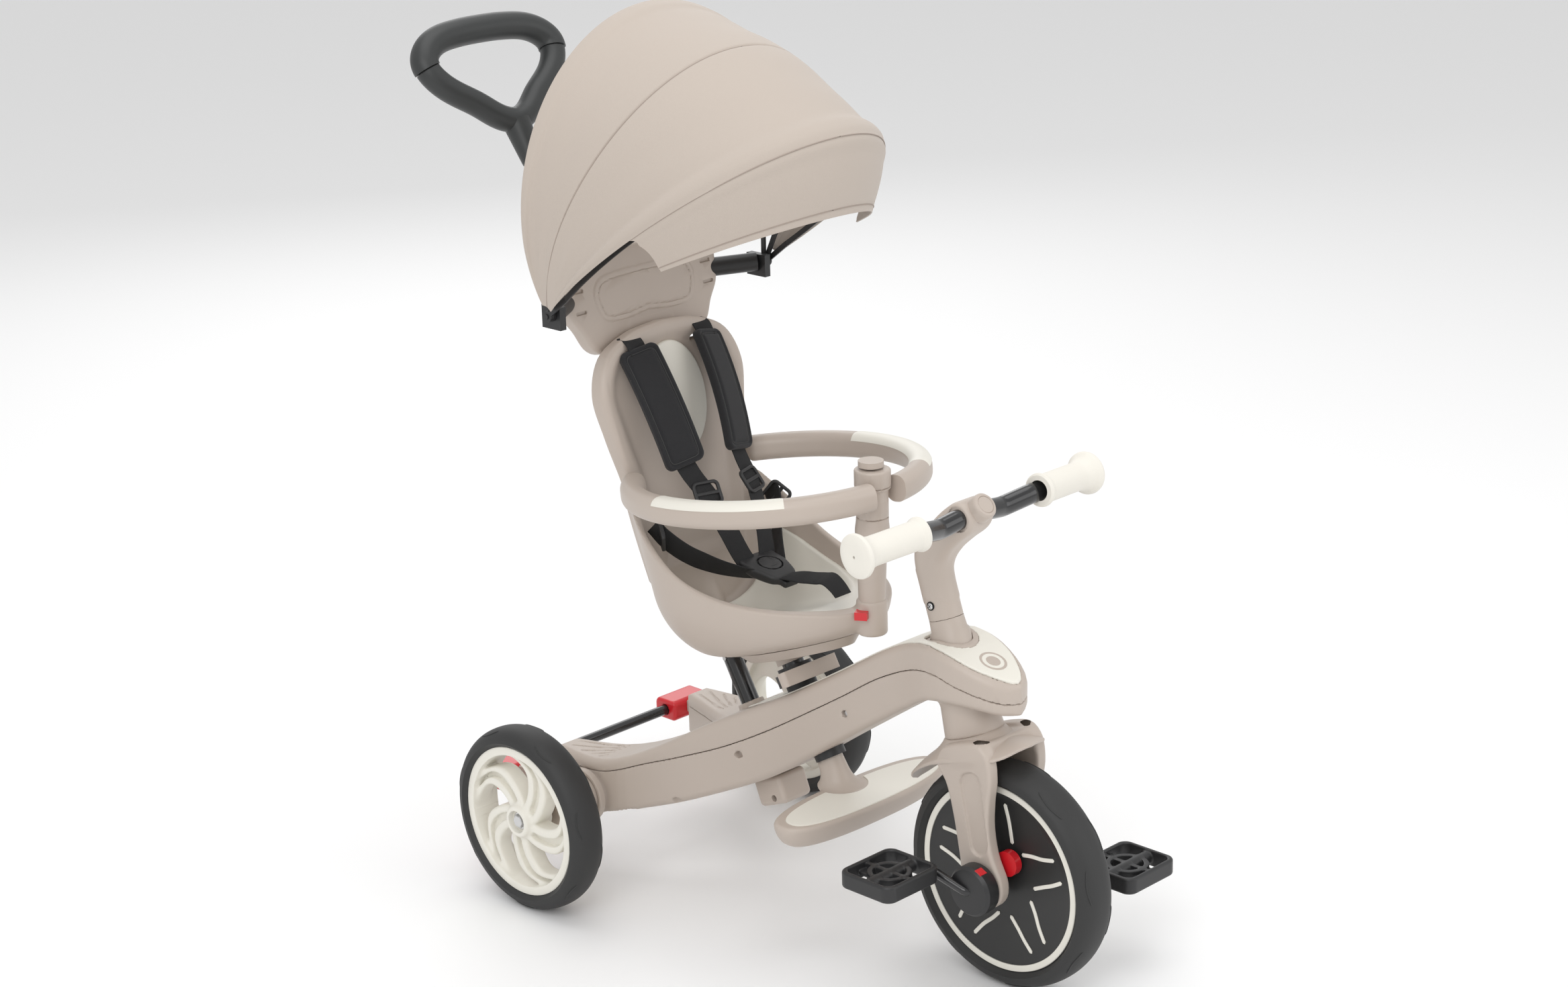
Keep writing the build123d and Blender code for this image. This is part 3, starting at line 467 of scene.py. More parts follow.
def parting_height(x, z):
    return (z - np.interp(x, PART_X, PART_Z)) * 0.88


def tread_grooves(x, y):
    """Shallow fan of grooves on the foot platforms over the rear wheels' axle."""
    angle = np.degrees(np.arctan2(np.abs(y) - 60, x - 60))
    lines = np.abs((angle + 3.5) % 7.0 - 3.5) * np.radians(1) * np.hypot(np.abs(y) - 60, x - 60)
    zone = both(FRAME_PLAN(x, np.abs(y)) + 12, np.maximum(x - 14, -52 - x), 3)
    return both(np.maximum(lines - 1.1, zone), 0.0 * x - 50)


def upper_shell(x, y, z):
    f = frame_cuts(frame_field(x, y, z), x, y, z)
    f = both(f, 0.35 - parting_height(x, z), 0.8)
    f = without(f, both(inlay_plan(x, y) - 0.4, FRAME_SIDE(x, z) * -1 - 2.2), 0.3)
    lx, ly, s = steer_xyz(x, y, z)
    collar = both(both(np.hypot(lx, ly) - 28, np.abs(s - 244) - 20.5, 2), 22.2 - np.hypot(lx, ly), 0.5)
    collar = both(collar, FRAME_SIDE(x, z) - 2.2, 1)
    qx, qy, qs = lean_xyz(x, y, z, 142.3, 215.2)
    socket = both(both(np.hypot(qx, qy) - 15.5, np.abs(qs + 8) - 14, 1.5), 11.2 - np.hypot(qx, qy), 0.5)
    groove = both(tread_grooves(x, y), -FRAME_SIDE(x, z) - 1.2)
    return np.minimum(np.minimum(without(f, groove, 0.3), collar), socket)


def lower_shell(x, y, z):
    f = frame_cuts(frame_field(x, y, z), x, y, z)
    f = both(f, parting_height(x, z) + 0.35, 0.8)
    hollow = both(FRAME_PLAN(x, np.abs(y)) + 4, np.maximum(z - np.interp(x, PART_X, PART_Z) + 6, x - 60), 2)
    f = without(f, both(hollow, 27.5 - np.hypot(x, z - REAR_R)), 2)
    for hx, hz in ((107, 117), (173, 180), (321, 263)):
        f = without(f, both(np.hypot(x - hx, z - hz) - 4.2, FRAME_PLAN(x, np.abs(y)) * -1 - 7), 0.5)
    return f


INLAY_EDGE = curve([(146, 14), (200, 24), (290, 25), (390, 25), (432, 33), (465, 37), (505, 31), (538, 10), (543, 0)], 50)
INLAY_OUTLINE = outline(np.vstack([INLAY_EDGE, [(543, -30), (146, -30)]]))


def inlay_plan(x, y):
    return INLAY_OUTLINE(x, np.abs(y))


def inlay_field(x, y, z):
    f = both(inlay_plan(x, y), np.abs(both(FRAME_PLAN(x, np.abs(y)), FRAME_SIDE(x, z), 9) + 0.2) - 1.5, 0.9)
    f = both(f, np.interp(x, PART_X, PART_Z) + 8 - z, 0.5)
    lx, ly, s = steer_xyz(x, y, z)
    f = without(f, np.hypot(lx, ly) - 28.2, 0.4)
    px, py, ps = lean_xyz(x, y, z, 218.6, 271.5)
    f = without(f, np.hypot(px, py) - 22.5, 0.4)
    qx, qy, qs = lean_xyz(x, y, z, 142.3, 215.2)
    return without(f, np.hypot(qx, qy) - 17, 0.4)


def make_frame():
    step = coarse(1.8)
    solid("upper shell", upper_shell, (-70, -134, 128), (552, 134, 384), step, TAUPE, "frame", keep=0.45,
          stands_for=["frame_upper_shell"])
    solid("lower shell", lower_shell, (-70, -198, 78), (552, 198, 352), step, TAUPE, "frame", keep=0.45,
          stands_for=["frame_lower_shell"])
    solid("top inlay", inlay_field, (140, -40, 205), (552, 40, 384), coarse(1.3), CREAM, "frame", keep=0.5,
          stands_for=["frame_inlay"])
    slope = (TOP[-1][1] - TOP[-2][1]) / (TOP[-1][0] - TOP[-2][0])
    spot = placed((BADGE_X, 0, np.interp(BADGE_X, *np.array(TOP).T) + 2.4), (0, 1, 0), (-slope, 0, 1))
    for name, inner, outer in (("nose ring", 12.4, 15.2), ("nose dot", 0, 8)):
        profile = [(inner, -4), (outer, -4), (outer, 0), (outer - 0.4, 0.3), (inner + 0.4, 0.3), (inner, 0), (inner, -4)]
        lathe(name, profile, spot, TAUPE, "frame", count=64)


# ---- seat --------------------------------------------------------------------------------------

RIM = curve([(60, 436), (170, 434), (202, 422), (222, 394), (242, 366), (273, 331), (315, 302), (361, 281), (408, 264),
             (440, 252), (520, 240)], 60)
RIM_SOLID = outline(np.vstack([RIM, [(520, 900), (60, 900)]]))
BACK_EDGE = curve([(74, 380), (83, 440), (89, 492), (103, 552), (110, 602), (92, 642), (50, 662), (0, 668)], 50)
BACK_OUTLINE = outline(np.vstack([BACK_EDGE, [(-60, 668), (-60, 380)]]))


def back_yt(x, y, z, front_at_515):
    """Sideways, up the back, and forward of the plane of the seat back."""
    dx = x - (front_at_515 + 515 * tan(BACK))
    return y, -dx * sin(BACK) + z * cos(BACK), dx * cos(BACK) + z * sin(BACK)


def egg(u, y, w, inset, floor):
    """Signed distance to the bucket's egg-shaped side wall."""
    q = np.clip((w - floor) / 90, 0, 1)
    s = np.sqrt(np.maximum(1 - (1 - q) ** 2, 0))
    half = 62 + 56 * s - inset
    rear = 240 - 80 * s + inset
    front = 410 + 44 * s ** 0.7 - inset
    centre = rear + 0.34 * (front - rear)
    a = np.where(u < centre, centre - rear, front - centre)
    du, dy = (u - centre) / a, y / half
    p = np.sqrt(du ** 2 + dy ** 2 + 1e-9)
    return (p - 1) * p / np.sqrt((du / a) ** 2 + (dy / half) ** 2 + 1e-12)


def tilt_uw(x, z):
    return x * cos(TILT) + z * sin(TILT), -x * sin(TILT) + z * cos(TILT)


def seat_field(x, y, z):
    u, w = tilt_uw(x, z)
    outer = both(egg(u, y, w, 0, 226), 226 - w, 14)
    outer = without(outer, RIM_SOLID(u, w), 3)
    yy, t, n = back_yt(x, y, z, 48)
    back = both(BACK_OUTLINE(np.abs(yy), t), np.abs(n + 12) - 12, 7)
    f = either(outer, back, 16)
    inner = both(egg(u, y, w, 7, 250), 250 - w, 14)
    inner = both(inner, -n + 0.5, 4)
    f = without(f, inner, 3)
    dish = both(BACK_OUTLINE(np.abs(yy), t) + 15, -n - 8, 16)
    f = without(f, dish, 6)
    rear = both(BACK_OUTLINE(np.abs(yy), t) + 9, n + 17, 3)
    f = without(f, both(rear, 440 - t, 6), 2)
    for side in (-1, 1):
        slot = both(oblong(yy - side * 53, t - 639, 28, 7, 3), -n - 16)
        f = without(f, slot, 0.5)
    boss = drum(x - 334, y, z, 17, 352, 392, 3)
    f = either(f, boss, 8)
    qx, qy, qs = lean_xyz(x, y, z, 142.3, 215.2)
    f = either(f, both(np.hypot(qx, qy) - 16, outer + 1, 2), 6)
    return without(f, np.hypot(qx, qy) - 12.2, 1)


def pan_field(x, y, z):
    """Pale lining of the bucket: dished floor that climbs the side walls."""
    u, w = tilt_uw(x, z)
    yy, t, n = back_yt(x, y, z, 48)
    f = both(egg(u, y, w, 6.5, 250), 249.5 - w, 14)
    hollow = both(egg(u, y, w, 10.5, 256), 262 - w, 26)
    f = without(f, hollow, 2.5)
    edge = np.interp(u, [200, 240, 300, 360, 400, 430], [34, 26, 18, 14, 13, 13])
    f = without(f, RIM_SOLID(u, w) - edge, 2)
    notch = np.hypot(u - 446, np.abs(y) * 0.9) - 36
    f = without(f, notch, 2)
    return both(f, 9 - n, 6)


def back_pad_field(x, y, z):
    yy, t, n = back_yt(x, y, z, 48)
    shape = np.sqrt((yy / 46) ** 2 + ((t - 578) / 66) ** 2 + 1e-9)
    edge = (shape - 1) * shape / np.sqrt((yy / 46 ** 2) ** 2 + ((t - 578) / 66 ** 2) ** 2 + 1e-12)
    return both(edge, np.abs(n + 7) - 4, 2.5)


def make_seat():
    solid("seat shell", seat_field, (-12, -122, 282), (354, 122, 662), coarse(1.8), TAUPE, "seat", keep=0.4,
          stands_for=["seat_shell"])
    solid("seat pan", pan_field, (70, -114, 300), (342, 114, 470), coarse(1.6), CREAM, "seat", keep=0.4,
          stands_for=["seat_pad"])
    solid("back pad", back_pad_field, (14, -48, 490), (64, 48, 650), coarse(1.4), CREAM, "seat", keep=0.4,
          stands_for=["back_pad"])


HEAD_EDGE = curve([(0, 652), (24, 650), (48, 641), (74, 638), (88, 646), (100, 668), (113, 688), (116, 706), (116, 728),
                   (104, 744), (60, 752), (0, 754)], 60)
HEAD_OUTLINE = outline(np.vstack([HEAD_EDGE, [(-60, 754), (-60, 652)]]))
PANEL = outline(np.vstack([curve([(0, 676), (40, 672), (66, 676), (74, 690), (76, 708), (66, 722), (0, 728)], 40),
                           [(-40, 728), (-40, 676)]]))


def headrest_field(x, y, z):
    yy, t, n = back_yt(x, y, z, 23)
    a = np.abs(yy)
    f = both(HEAD_OUTLINE(a, t), np.abs(n + 12) - 12, 6)
    hollow = both(HEAD_OUTLINE(a, t) + 4, n + 5, 2)
    f = without(f, hollow, 1)
    f = either(f, both(PANEL(a, t), np.abs(n) - 1.6, 1.2), 1.5)
    groove = both(np.abs(PANEL(a, t) + 6) - 0.8, -n + 0.6)
    f = without(f, groove, 0.4)
    for height in (690, 714):
        f = without(f, both(oblong(a - 98, t - height, 16, 4, 1.8), -n - 3), 0.4)
    tongue = both(oblong(yy, t - 630, 68, 80, 8), np.abs(n + 7) - 6.5, 2)
    return either(f, tongue, 4)


def make_headrest():
    solid("headrest", headrest_field, (-56, -120, 570), (20, 120, 750), coarse(1.5), TAUPE, "seat", keep=0.4,
          stands_for=["headrest"])


# ---- canopy ------------------------------------------------------------------------------------

BOWS = np.array([(0.5, 198.5, 110.5, 211.5), (26.0, 193.5, 105.5, 214.5), (54.0, 187.5, 103.0, 246.0)])
HEM_BOW = (66.5, 160.0, 120.0, 172.0)


def bow_point(angle, half, centre, rise, t):
    """Point of a bow at t, 0 at the near end and pi at the far one."""
    a = np.radians(angle)
    y = -half * np.cos(t)
    r = centre + rise * np.sin(t)
    return np.stack([HINGE[0] + r * np.sin(a), y, HINGE[1] + r * np.cos(a)], -1)


def foot_angle(half, centre, rise, foot):
    """t at which a bow reaches the height of foot along its own plane."""
    return -asin(min(1, (centre - foot) / rise))


def canopy_point(alpha, v, lift=0.0):
    """Outside of the hood at bow angle alpha and share v of the way along the bow."""
    half, centre, rise = (np.interp(alpha, BOWS[:, 0], BOWS[:, k]) for k in (1, 2, 3))
    start = -np.arcsin((centre - 14) / rise)
    t = start + v * (pi - 2 * start)
    local = np.where(alpha < 26, (alpha - 0.5) / 25.5, (alpha - 26) / 28)
    chord = 1 - 0.021 * np.sin(pi * np.clip(local, 0, 1)) * np.sin(pi * v) ** 0.6
    size = chord + lift / np.maximum(centre + rise * np.sin(t), 30)
    return bow_point(alpha, half * (1 - (1 - chord) * 0.6) + lift * np.abs(np.cos(t)), centre * size, rise * size, t)


def cloth(name, outside, body, thickness=1.5, **more):
    """Thin closed sheet from a grid of points of its outer face, shape (n, m, 3)."""
    n, m = outside.shape[:2]
    du = np.gradient(outside, axis=0)
    dv = np.gradient(outside, axis=1)
    normal = np.cross(du, dv)
    normal /= np.maximum(np.linalg.norm(normal, axis=-1, keepdims=True), 1e-9)
    inside = outside - thickness * normal
    verts = np.concatenate([outside.reshape(-1, 3), inside.reshape(-1, 3)])
    front = grid_faces(n, m)
    faces = [list(f) for f in front] + [[v + n * m for v in f[::-1]] for f in front]
    loop = [i * m for i in range(n)] + [(n - 1) * m + j for j in range(1, m)]
    loop += [i * m + m - 1 for i in range(n - 2, -1, -1)] + [j for j in range(m - 2, 0, -1)]
    for a, b in zip(loop, loop[1:] + loop[:1]):
        faces.append([b, a, a + n * m, b + n * m])
    return build(name, verts, faces, CLOTH, body, **more)


def make_canopy():
    alpha = np.concatenate([np.linspace(0.5, 5.5, 14), np.linspace(6.2, 25.2, 24), np.linspace(25.6, 26.4, 7),
                            np.linspace(27, 48, 24), np.linspace(48.4, 54, 18)])
    v = np.linspace(0, 1, 150)
    grid_a, grid_v = np.meshgrid(alpha, v, indexing="ij")
    ridge = 3.0 * np.exp(-np.abs((grid_a - 2.2) / 2.3) ** 4) + 5.0 * np.exp(-np.abs((grid_a - 51.4) / 2.1) ** 3)
    ridge = ridge - 1.8 * np.exp(-((grid_a - 26) / 0.3) ** 2)
    wave = 0.5 * np.sin(grid_a * 0.55) * np.sin(grid_v * 19)
    fade = np.clip(np.minimum(grid_v, 1 - grid_v) / 0.08, 0, 1)
    hood = canopy_point(grid_a, grid_v, (ridge + wave) * fade)
    canopy = cloth("canopy hood", hood, None)
    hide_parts("canopy_cloth")
    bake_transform(canopy)
    angle, half, centre, rise = HEM_BOW
    first = foot_angle(*BOWS[2, 1:], 182)
    last = foot_angle(half, centre, rise, 178)
    s = np.linspace(0, 1, 26)[:, None]
    k = np.linspace(0, 1, 110)[None, :]
    seam = bow_point(54.0, *BOWS[2, 1:], first + k * (pi - 2 * first))
    hem = bow_point(angle, half, centre, rise, last + k * (pi - 2 * last))
    bulge = np.sin(pi * s) * 7 + 3 * np.sin(2 * pi * np.clip(s * 2.2, 0, 0.5)) * (s < 0.46)
    visor = seam * (1 - s[..., None]) + hem * s[..., None]
    visor = visor + bulge[..., None] * np.array([0.72, 0, 0.69])
    visor = visor + 1.5 * (s[..., None] > 0.93) * np.array([0.6, 0, 0.2])
    sheet = cloth("canopy visor", visor, "canopy_front")
    middle = int(np.argmin(np.abs(alpha - 26)))
    seam_line = sweep("hood seam", hood[middle], round_section(0.6, 8), THREAD, None)
    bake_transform(seam_line)
    for name, row in (("visor seam", 0), ("visor stitching", 23)):
        edge = visor[row] + np.array([0.6, 0, 0.6])
        sweep(name, edge, round_section(0.6, 8), THREAD, "canopy_front")


# ---- steering ----------------------------------------------------------------------------------

LEG = outline(curve([(27, -2), (24, 30), (28, 60), (38, 88), (49, 112), (52, 138), (42, 152), (-8, 152), (-22, 138),
                     (-16, 115), (-17, 80), (-22, 40), (-27, 0), (-19, -19), (0, -27), (19, -19)], 80, closed=True))
NECK = outline(curve([(18.8, 300), (19.2, 322), (24, 340), (38, 353), (58, 363), (79, 372), (88, 384), (84, 399), (72, 406),
                      (52, 401), (24.6, 387), (-6, 365), (-17, 342), (-18.8, 318), (-18.8, 300)], 90))


def fork_field(x, y, z):
    lx, ly, s = steer_xyz(x, y, z)
    leg = both(LEG(lx, s), np.abs(np.abs(y) - 39) - 8, 4)
    mid = 4 + 0.14 * s
    recess = both(both(np.abs(lx - mid) - 13 - 0.03 * (s - 70), np.abs(s - 78) - 46, 13), 44 - np.abs(y), 2)
    f = without(leg, recess, 1.5)
    crown = both(oblong(lx - 16, y, 66, 94, 24), np.abs(s - 143) - 8, 4)
    f = either(f, crown, 10)
    return without(f, both(np.hypot(x - HUB[0], z - HUB[1]) - 131, np.abs(y) - 31, 4), 3)


# The mudguard laid flat: run from its rear tip, round the wheel, and half width.
MUDGUARD_R = 152.0
MUDGUARD_EDGE = curve([(0, 0), (10, 15), (31, 30), (58, 41), (87, 46), (116, 48), (148, 48), (172, 44), (184, 34),
                       (190, 18), (194, 0)], 60)
MUDGUARD = outline(np.vstack([MUDGUARD_EDGE, [(194, -30), (0, -30)]]))


def mudguard_field(x, y, z):
    """Thin saddle over the wheel, pointed fore and aft, that flows into the foot of the column."""
    lx, ly, s = steer_xyz(x, y, z)
    run = MUDGUARD_R * (radians(152) - np.arctan2(z - HUB[1], x - HUB[0]))
    r = np.hypot(x - HUB[0], z - HUB[1])
    rise = MUDGUARD_R + 5 * np.clip((run - 136) / 58, 0, 1) ** 1.5 - 13 * np.abs(y / 47) ** 1.6
    brim = both(np.abs(r - rise) - 1.7, MUDGUARD(run, np.abs(y)), 1.2)
    foot = both(np.hypot(lx, ly) - 32.5 - np.clip(154 - s, 0, 30) * 0.5, np.abs(s - 149) - 6.3, 1)
    return either(brim, foot, 20)


def neck_field(x, y, z):
    lx, ly, s = steer_xyz(x, y, z)
    column = both(np.hypot(lx, ly) - 18.8, np.abs(s - 312) - 28.6, 0.8)
    width = 18.8 + 4 * np.clip((s - 335) / 40, 0, 1)
    f = either(column, both(NECK(lx, s), np.abs(y) - width, 18.5 - 8 * np.clip((s - 330) / 45, 0, 1)), 3)
    emblem = both(np.abs(np.hypot(lx + 6, s - 347) - 5.2) - 0.5, 20 - np.abs(y), 0.2)
    socket = both(np.hypot(lx - 72.2, s - 388.6) - 13.4, 19.5 - np.abs(y), 0.5)
    return without(without(f, socket, 1), emblem, 0.2)


def grip(name, side):
    start, end = np.array((492, side * 93.3, 525)), np.array((485, side * 185.6, 522))
    along = (end - start) / np.linalg.norm(end - start)
    profile = [(11.3, -0.5), (16.5, -0.5), (18.2, 1), (18.6, 3.2), (17.8, 5.6), (16.2, 8)]
    profile += [(15.6 + 0.25 * (k % 2), 10 + 1.5 * k) for k in range(40)]
    profile += [(16.2, 72), (17.2, 76), (19.5, 80.5), (22.4, 84), (23.6, 86), (23.8, 88), (23.2, 90), (21, 91.6), (14, 92.6),
                (3.2, 93.1), (1.6, 92.6), (1.5, 88), (0, 88)]
    obj = lathe(name, profile, placed(start, (0, 0, 1), along), SOFT_CREAM, "fork", count=64)
    return obj


def screw(name, x, y, z, radius, normal, body, depth=1.6):
    """Cross-head screw seen end on."""
    r = radius
    head = [(0, depth), (r * 0.5, depth), (r * 0.8, depth * 0.8), (r, depth * 0.35), (r, -2), (0, -2)]
    cup = [(r * 1.35, -2), (r * 1.35, 0.25), (r * 1.08, 0.25), (r * 1.08, -2)]
    side = (1, 0, 0) if abs(normal[0]) < 0.9 else (0, 1, 0)
    where = placed((x, y, z), side, normal)
    lathe(name, head, where, BRIGHT, body, count=32)
    # Dark ring round the head: painted shade in the gap about the screw.
    lathe(name + " rim", cup, where, RECESS_SHADE, body, count=32)
    # Cross slots painted near-black as the shade inside them.
    for k in (0, 1):
        turn = [radians(45 + 90 * k + e) for e in (0, 180)]
        bar = np.array([(0.62 * r * cos(a), 0.62 * r * sin(a), depth - 0.25) for a in turn])
        path = where(np.linspace(bar[0], bar[1], 3))
        sweep(name + f" slot {k}", path, oblong_section(0.22 * r, 0.8, 0.1, 2), RECESS_SHADE, body,
              side=np.cross(path[1] - path[0], normal))


def make_steering():
    solid("fork", fork_field, (468, -50, 95), (570, 50, 282), coarse(1.5), TAUPE, "fork", keep=0.45, stands_for=["fork"])
    solid("mudguard", mudguard_field, (385, -56, 185), (585, 56, 300), coarse(1.4), TAUPE, "fork", keep=0.5,
          stands_for=["mudguard"])
    solid("neck", neck_field, (395, -26, 385), (505, 26, 550), coarse(1.3), TAUPE, "fork", keep=0.45, stands_for=["neck"])
    sleeve = [(20.4, 236), (21.7, 236), (21.7, 268), (19.6, 271), (18.8, 283.2), (15.2, 283.2), (15.2, 266), (20.4, 266)]
    lathe("steering sleeve", sleeve + sleeve[:1], STEER, TAUPE, "fork", count=72, stands_for=["steering_tube"])
    left, right = grip("grip left", 1), grip("grip right", -1)
    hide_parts("handlebar_grips")
    dome = [(0, 14.6), (9.2, 14.6), (9.8, 14.0), (10.2, 14.9), (12.6, 14.5), (14, 13), (14.5, 10.5), (14.5, 0), (0, 0)]
    axis = (sin(radians(49.8)), 0, cos(radians(49.8)))
    spot = STEER(np.array([(83, 0, 391.5)]))[0]
    lathe("adjuster knob", dome, placed(spot, (0, 1, 0), axis), TAUPE, "knob", count=72, stands_for=["knob"])
    spot = STEER(np.array([(0, -19.4, 300.7)]))[0]
    screw("neck screw", *spot, 3.6, (0, -1, 0), "fork")


# ---- guard ring --------------------------------------------------------------------------------

RING_UP = (-sin(RING), 0, cos(RING))


def ring_point(angle, lift=0.0, out=0.0):
    a = np.radians(angle)
    lx, y = (163.8 + out) * np.cos(a), (158.1 + out) * np.sin(a)
    base = 515.3 + (191.3 - 340) * tan(RING)
    return np.stack([191.3 + lx * cos(RING) - lift * sin(RING), y, base + lx * sin(RING) + lift * cos(RING)], -1)


def rounded_ends(path, reach, first=True, last=True):
    run = np.concatenate([[0], np.cumsum(np.linalg.norm(np.diff(path, axis=0), axis=1))])
    gap = np.full(len(path), 1e9)
    if first:
        gap = np.minimum(gap, run)
    if last:
        gap = np.minimum(gap, run[-1] - run)
    k = np.clip(gap / reach, 0.004, 1)
    return np.sqrt(1 - (1 - k) ** 2)


def spaced(low, high, count, dense=9):
    """Angles from low to high with extra ones near both ends for rounding."""
    t = np.linspace(0, 1, count)
    near = np.array([0, 0.0006, 0.0025, 0.006, 0.011, 0.018, 0.027, 0.038, 0.05])
    t = np.unique(np.concatenate([near, t[(t > 0.055) & (t < 0.945)], 1 - near]))
    return low + (high - low) * t


def make_guard():
    for name, side in (("left", 1), ("right", -1)):
        angles = side * spaced(7.5, 147, 70)
        path = ring_point(angles)
        size = rounded_ends(path, 9, first=False)
        sweep("guard arm " + name, path, oblong_section(30, 26, 11.5, 8), TAUPE, "guard_arm_" + name, side=RING_UP, scale=size,
              stands_for=["guard_arm_" + name])
        low, high = (42, 98) if side < 0 else (31, 99)
        strip = ring_point(side * spaced(low, high, 44))
        section = [(a, b) for a, b in oblong_section(31.0, 27.0, 11.9, 10) if a > 7.2]
        section = sorted(section, key=lambda p: p[1])
        size = rounded_ends(strip, 7) * 0.14 + 0.86
        sweep("guard pad " + name, strip, section, CREAM, "guard_arm_" + name, side=RING_UP, scale=size)


def post_field(x, y, z):
    lower = capsule(x, y, z, (334, 0, 380), (336, 0, 470), 14.5, 17)
    upper = both(oblong(x - 337, y, 35, 33, 15), np.abs(z - 497) - 30, 3)
    f = either(lower, upper, 6)
    head = both(np.hypot(x - 338, y) - 20, np.abs(z - 530) - 11, 2)
    f = either(f, head, 2)
    for height in (487, 507, 522):
        f = without(f, both(np.abs(z - height) - 0.5, 34 - 0 * x - np.hypot(x - 337, y) * 2.2, 0.1), 0.2)
    return f


# ---- harness -----------------------------------------------------------------------------------

def local_frame(top, bottom, sideways):
    top, bottom = np.asarray(top, float), np.asarray(bottom, float)
    t = (bottom - top) / np.linalg.norm(bottom - top)
    n = np.cross(t, sideways)
    n /= np.linalg.norm(n)
    if n[0] < 0:
        n = -n
    w = np.cross(n, t)

    def split(x, y, z):
        dx, dy, dz = x - top[0], y - top[1], z - top[2]
        return [dx * v[0] + dy * v[1] + dz * v[2] for v in (t, w, n)]

    return split, np.linalg.norm(bottom - top), (t, w, n)


def shoulder_pad(name, side):
    top, bottom = (26, side * 53, 632), (90, side * 41, 504)
    split, length, axes = local_frame(top, bottom, (-0.35 * side, 1, 0))

    def field(x, y, z):
        t, w, n = split(x, y, z)
        bow = 6 * (1 - (2 * t / length - 1) ** 2) - 3
        plan = oblong(t - length / 2, w, length, 49, 9)
        puff = 5.6 - 2.2 * np.exp(-(plan + 6) ** 2 / 6) * (plan > -14)
        f = both(plan, np.abs(n - bow - 5) - puff, 3.4)
        return f

    low = (8, min(side * 20, side * 84), 490)
    high = (112, max(side * 20, side * 84), 650)
    pad = solid(name, field, low, high, coarse(1.3), PADDING, "seat", keep=0.6)
    t, w, n = axes
    turn = np.linspace(0, 2 * pi, 160, endpoint=False)
    ring = oblong_section(length - 12, 37, 6, 8)
    ring = curve(ring, 150, closed=True)
    path = []
    for a, b in ring:
        k = a + length / 2
        bow = 6 * (1 - (2 * k / length - 1) ** 2) - 3
        path.append(np.array(top) + t * k + w * b + n * (bow + 5 + 3.7))
    sweep(name + " stitching", path, round_section(0.55, 8), DARK_THREAD, "seat", side=n, closed=True)
    return pad


def strap(name, points, sides, width=25.0, thick=1.7):
    path = curve(points, 60)
    given = np.asarray(sides, float)
    where = np.linspace(0, 1, len(given))
    side = np.stack([np.interp(np.linspace(0, 1, 60), where, given[:, k]) for k in range(3)], 1)
    obj = sweep(name, path, oblong_section(width, thick, 0.7, 3), WEB, "seat", side=side)
    return obj


def slider(name, centre, normal, sideways, width=30, height=26):
    where = placed(centre, sideways, normal)
    ring = oblong_section(width, height, 5, 6)
    path = where(np.column_stack([ring, np.zeros(len(ring))]))
    sweep(name, path, oblong_section(4.2, 3.8, 1.2, 3), BLACK, "seat", side=normal, closed=True)
    bar = where(np.array([(-width / 2, 0, 0), (0, 0, 0), (width / 2, 0, 0)], float))
    sweep(name + " bar", bar, oblong_section(3.4, 4.5, 1.2, 3), BLACK, "seat", side=normal)


def buckle_field(x, y, z):
    """Three-way buckle, its button face turned up and forward."""
    dx, dz = x - 176, z - 390
    lean = radians(14)
    u, w = dx * cos(lean) - dz * sin(lean), dx * sin(lean) + dz * cos(lean)
    half = 27 - 9 * np.clip((u + 2) / 28, 0, 1)
    plan = both(np.abs(y) - half, np.abs(u) - 29, 9)
    dome = 7.5 - 2.4 * np.clip((np.hypot(u, y) - 15) / 14, 0, 1)
    f = both(plan, np.abs(w - 1) - dome, 3.5)
    f = either(f, both(oblong(u - 30, y, 16, 22, 3), np.abs(w) - 4, 2), 2)
    return without(f, both(np.abs(np.hypot(u, y) - 14.2) - 0.9, 5 - w, 0.3), 0.4)


def make_harness():
    left, right = shoulder_pad("shoulder pad left", 1), shoulder_pad("shoulder pad right", -1)
    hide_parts("shoulder_pads")
    for name, side in (("left", 1), ("right", -1)):
        upper = strap("top strap " + name, [(10, side * 53, 642), (22, side * 53, 640), (34, side * 52, 624)],
                      [(0, 1, 0), (0, 1, 0), (0, 1, 0)], width=26)
        chest = strap("chest strap " + name,
                      [(84, side * 42, 512), (96, side * 40, 496), (118, side * 35, 472), (139, side * 27, 436),
                       (152, side * 20, 408), (160, side * 14, 392)],
                      [(-0.3 * side, 1, 0), (-0.25 * side, 1, 0), (-0.1 * side, 1, 0.1)])
        slider("chest slider " + name, (117, side * 35, 475.5), (0.80, 0.25 * side, 0.59), (-0.3 * side, 1, 0))
        lap = strap("lap strap " + name,
                    [(88, side * 93, 446), (100, side * 88, 433), (118, side * 72, 414), (140, side * 48, 398),
                     (160, side * 28, 390), (172, side * 16, 387)],
                    [(0.45, 0.1 * side, 0.88), (0.4, 0.2 * side, 0.88), (0.7, 0.4 * side, 0.6)], width=27)
        slider("lap slider " + name, (98, side * 90.5, 437), (0.5, -0.75 * side, 0.1), (0.55, 0.25 * side, 0.8))
        if side > 0:
            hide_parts("harness_straps")
    strap("crotch strap", [(196, 0, 386), (214, 1, 390), (234, 3, 392), (254, 2, 396), (270, 0, 399), (284, -1, 393),
                           (292, -1, 386)], [(0, 1, 0), (0.1, 1, 0.25), (0, 1, 0.3), (0, 1, 0)])
    shell = solid("buckle body", buckle_field, (140, -32, 362), (220, 32, 416), coarse(1), BLACK, "seat", keep=0.6,
                  stands_for=["buckle", "strap_adjusters"])



# ---- brake -------------------------------------------------------------------------------------

